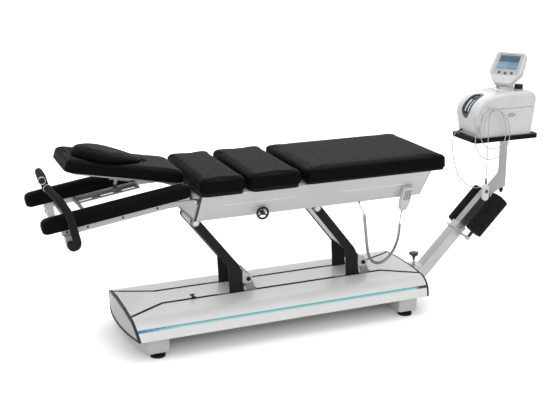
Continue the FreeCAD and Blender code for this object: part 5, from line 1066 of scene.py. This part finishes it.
def add_mast_detail():
    """A row of index marks on the upper face of the mast and screws at its head."""
    place = Matrix.Translation(MAST_FOOT) @ Matrix.Rotation(-MAST_ANGLE, 4, "Y")
    for number in range(9):
        mesh = turned("index", ((4.6, -0.2), (4.6, 0.5), (3.9, 0.9), (3.2, 0.5), (3.0, 0.2), (0.4, 0.2)), 20)
        at = shift(FIRST_MARK + MARK_STEP * number, 0, MAST_FACE)
        put("mast_index_%d" % (number + 1), mesh, place @ at, M["cord_white"], "base")
    for side in (-1, 1):
        at = place @ shift(FORK_SCREW[0], side * FORK_SCREW[1], 0)
        turn = Matrix.Rotation(radians(-90.0 * side), 4, "X")
        put("fork_screw_" + label(side), screw_head("screw", 5.0, 3.0), at @ turn, M["black_plastic"], "base")


UNIT_MIDDLE = Vector((BASE_MIDDLE + 1.465, 0, 1.1238))
SHELL_SEAM_HALF_ANGLE, SHELL_SEAM_STEPS = 112.0, 99
UNIT_ARCH = ((1.318, 0.995), (1.312, 1.03), (1.318, 1.066), (1.338, 1.096), (1.368, 1.115), (1.404, 1.124),
             (1.446, 1.126))
UNIT_SLOT = ((1.282, 0.99), (1.279, 1.014), (1.277, 1.038))


def add_unit_detail():
    """Lines on the unit's shells, the plug of the link cable and a bare plate on each side."""
    shells = [surface_of(nodes[node].data) for node in ("unit_lower_shell", "unit_upper_shell")]
    points = []
    for k in range(SHELL_SEAM_STEPS + 1):
        angle = radians(SHELL_SEAM_HALF_ANGLE * (2 * k / SHELL_SEAM_STEPS - 1))
        out = Vector((cos(angle), sin(angle), 0))
        hit = shells[0].ray_cast(UNIT_MIDDLE + out * 0.4, -out)[0]
        if hit and abs(hit.y) < 0.2:
            points.append(hit - out * 0.0006)
    tube("unit_seam", points, 0.0011, M["gasket"], "mast", "panel_black", bevel=1, order=2, resolution=1)
    for side in (-1, 1):
        for name, line, radius, material in (("arch", UNIT_ARCH, 0.0009, "crease"),
                                             ("slot", UNIT_SLOT, 0.0016, "gasket")):
            points = []
            for x, z in line:
                start = Vector((BASE_MIDDLE + x, side * 0.4, z))
                hits = [tree.ray_cast(start, Vector((0, -side, 0)))[0] for tree in shells]
                found = [h for h in hits if h]
                if found:
                    points.append(max(found, key=lambda h: h.y * side))
            tube("unit_%s_%s" % (name, label(side)), points, radius, M[material], "mast", "panel_black",
                 bevel=1)
    plug = turned("plug", ((4.0, -18.0), (6.4, -17.0), (6.6, -4.0), (5.2, -2.0), (4.4, 9.0), (3.4, 10.0),
                           (2.6, 10.0)), 24)
    put("unit_lead_plug", plug, facing((1266.0 + BASE_MIDDLE / MM, 60.0, 982.0), (-1, 0, 0)),
        M["black_plastic"], "mast")
    for side in (-1, 1):
        plate = turned("plate", ((1.0, -0.6), (1.0, 0.4), (0.94, 0.9), (0.5, 1.0), (0.02, 1.0)), 40)
        plate.transform(Matrix.Diagonal((30.0, 13.0, 1.0, 1.0)))
        turn = facing((1498.0 + BASE_MIDDLE / MM, side * 112.0, 1083.0), (0, side, 0))
        put("unit_plate_" + label(side), plate, turn, M["badge"], "mast")


# Materials on the solids

PAINTED = {
    "white": "side_covers top_cover",
    "rail": "side_rails",
    "cap": "base_end_caps deck_end_caps",
    "beam": "foot_beams",
    "frame": "base_chassis",
    "arm": "head_frame armrest_frame",
    "black_paint": "head_arm_plates foot_arm_plates",
    "gasket": "base_gaskets",
    "light": "light_strips",
    "bronze": "pivot_bushes",
    "drive": "lift_drive",
    "steel": "lift_rod deck_pins cord_hook traction_drive",
    "pulley": "front_pulley",
    "rubber": "levelling_feet",
    "mast": "mast_outer_tube",
    "post": "mast_inner_tube",
    "black_plastic": "cover_lever lock_wheel post_knob unit_knob",
    "foam": "right_roller left_roller",
    "grip": "hand_grips",
    "board": "cushion_boards lumbar_carriage",
    "gloss_black": "tray display_screen",
    "panel": "unit_front_panel",
    "unit_white": "unit_lower_shell unit_upper_shell display_neck",
    "key": "display_key_left display_key_middle display_key_right switch_button",
    "handset": "pendant",
    "cord_white": "switch_cord link_cable",
    "cord_grey": "pendant_cord",
    "vinyl": "thoracic_cushions lumbar_cushion head_cushion face_pillow armrest_pads",
}


def paint_solids():
    paints = {node: M[key] for key, names in PAINTED.items() for node in names.split()}
    paints["head_lift_arm"] = arm_material("head_arm_paint", -0.162)
    paints["foot_lift_arm"] = arm_material("foot_arm_paint", 0.549)
    paints["roller_fork"] = fork_material()
    paints["display_shell"] = display_case_material()
    for node, name, axis, split, *levels in (
        ("deck_frame", "deck_frame_paint", "X", BASE_MIDDLE - 0.4925, 0.014, 0.34, 0.0, 0.0),
        ("deck_trim", "deck_trim_rubber", "X", BASE_MIDDLE + 0.846, 0.028, 0.55, 0.0, 0.0),
        ("mast_clamp_knob", "clamp_knob", "Z", 0.222, 0.60, 0.018, 1.0, 0.0),
        ("head_lever", "head_lever", "Z", 0.895, 0.018, 0.60, 0.0, 1.0),
        ("patient_switch", "switch_case", "Z", 0.694, 0.70, 0.05, 0.0, 0.0),
    ):
        paints[node] = two_part(name, axis, split, *levels)
    for node, material in paints.items():
        slots = nodes[node].data.materials
        slots.clear()
        slots.append(material)


# Floor

# Half sizes of the base's footprint, round which the floor's painted shadow lies.
PAINTED_SHADOW_HALF_LENGTH, PAINTED_SHADOW_HALF_WIDTH = 0.72, 0.12


def add_floor():
    """A pale floor that shows white to the camera, apart from the real shadow round the base, which a painted
    shadow deepens where the glow is held back.
    """
    bm = bmesh.new()
    bmesh.ops.create_grid(bm, x_segments=8, y_segments=8, size=40.0)
    s = Surface("floor", 0.6, specular=0.2)
    s.tone(s.noise(1.5), grey(0.90), grey(0.93))
    beside = s.beyond(s.maths("SUBTRACT", s.along("X"), BASE_MIDDLE), PAINTED_SHADOW_HALF_LENGTH)
    away = s.distance(beside, s.beyond(s.along("Y"), PAINTED_SHADOW_HALF_WIDTH))
    # Painted shadow: the glow is lowest over the base's footprint and rises within 0.3 m of it; far off it
    # rises again.
    near, far = s.ranged(away, (0.0, 0.30), (0.02, 0.45)), s.ranged(away, (1.5, 5.0), (0.0, 0.30))
    level = s.maths("ADD", near, far)
    s.glow((1.0, 1.0, 1.0, 1.0), s.maths("MULTIPLY", s.seen(), level))
    link_mesh("floor", mesh_from(bm, "floor"), s.material)


# The whole scene

add_camera()
add_studio()
add_thin_cord("switch_lead", SWITCH_CORD, "switch_cord", "mast")
add_thin_cord("unit_lead", LINK_CABLE, "link_cable", "mast")
add_curly_cord()
paint_solids()
add_cushions()
add_head()
add_armrests()
add_display_detail()
add_display_hinge()
add_pulley_cradle()
add_seam_beads()
add_handset_keys()
add_wheel_rim()
add_groove_highlights()
add_armrest_detail()
add_mast_detail()
add_unit_detail()
add_floor()
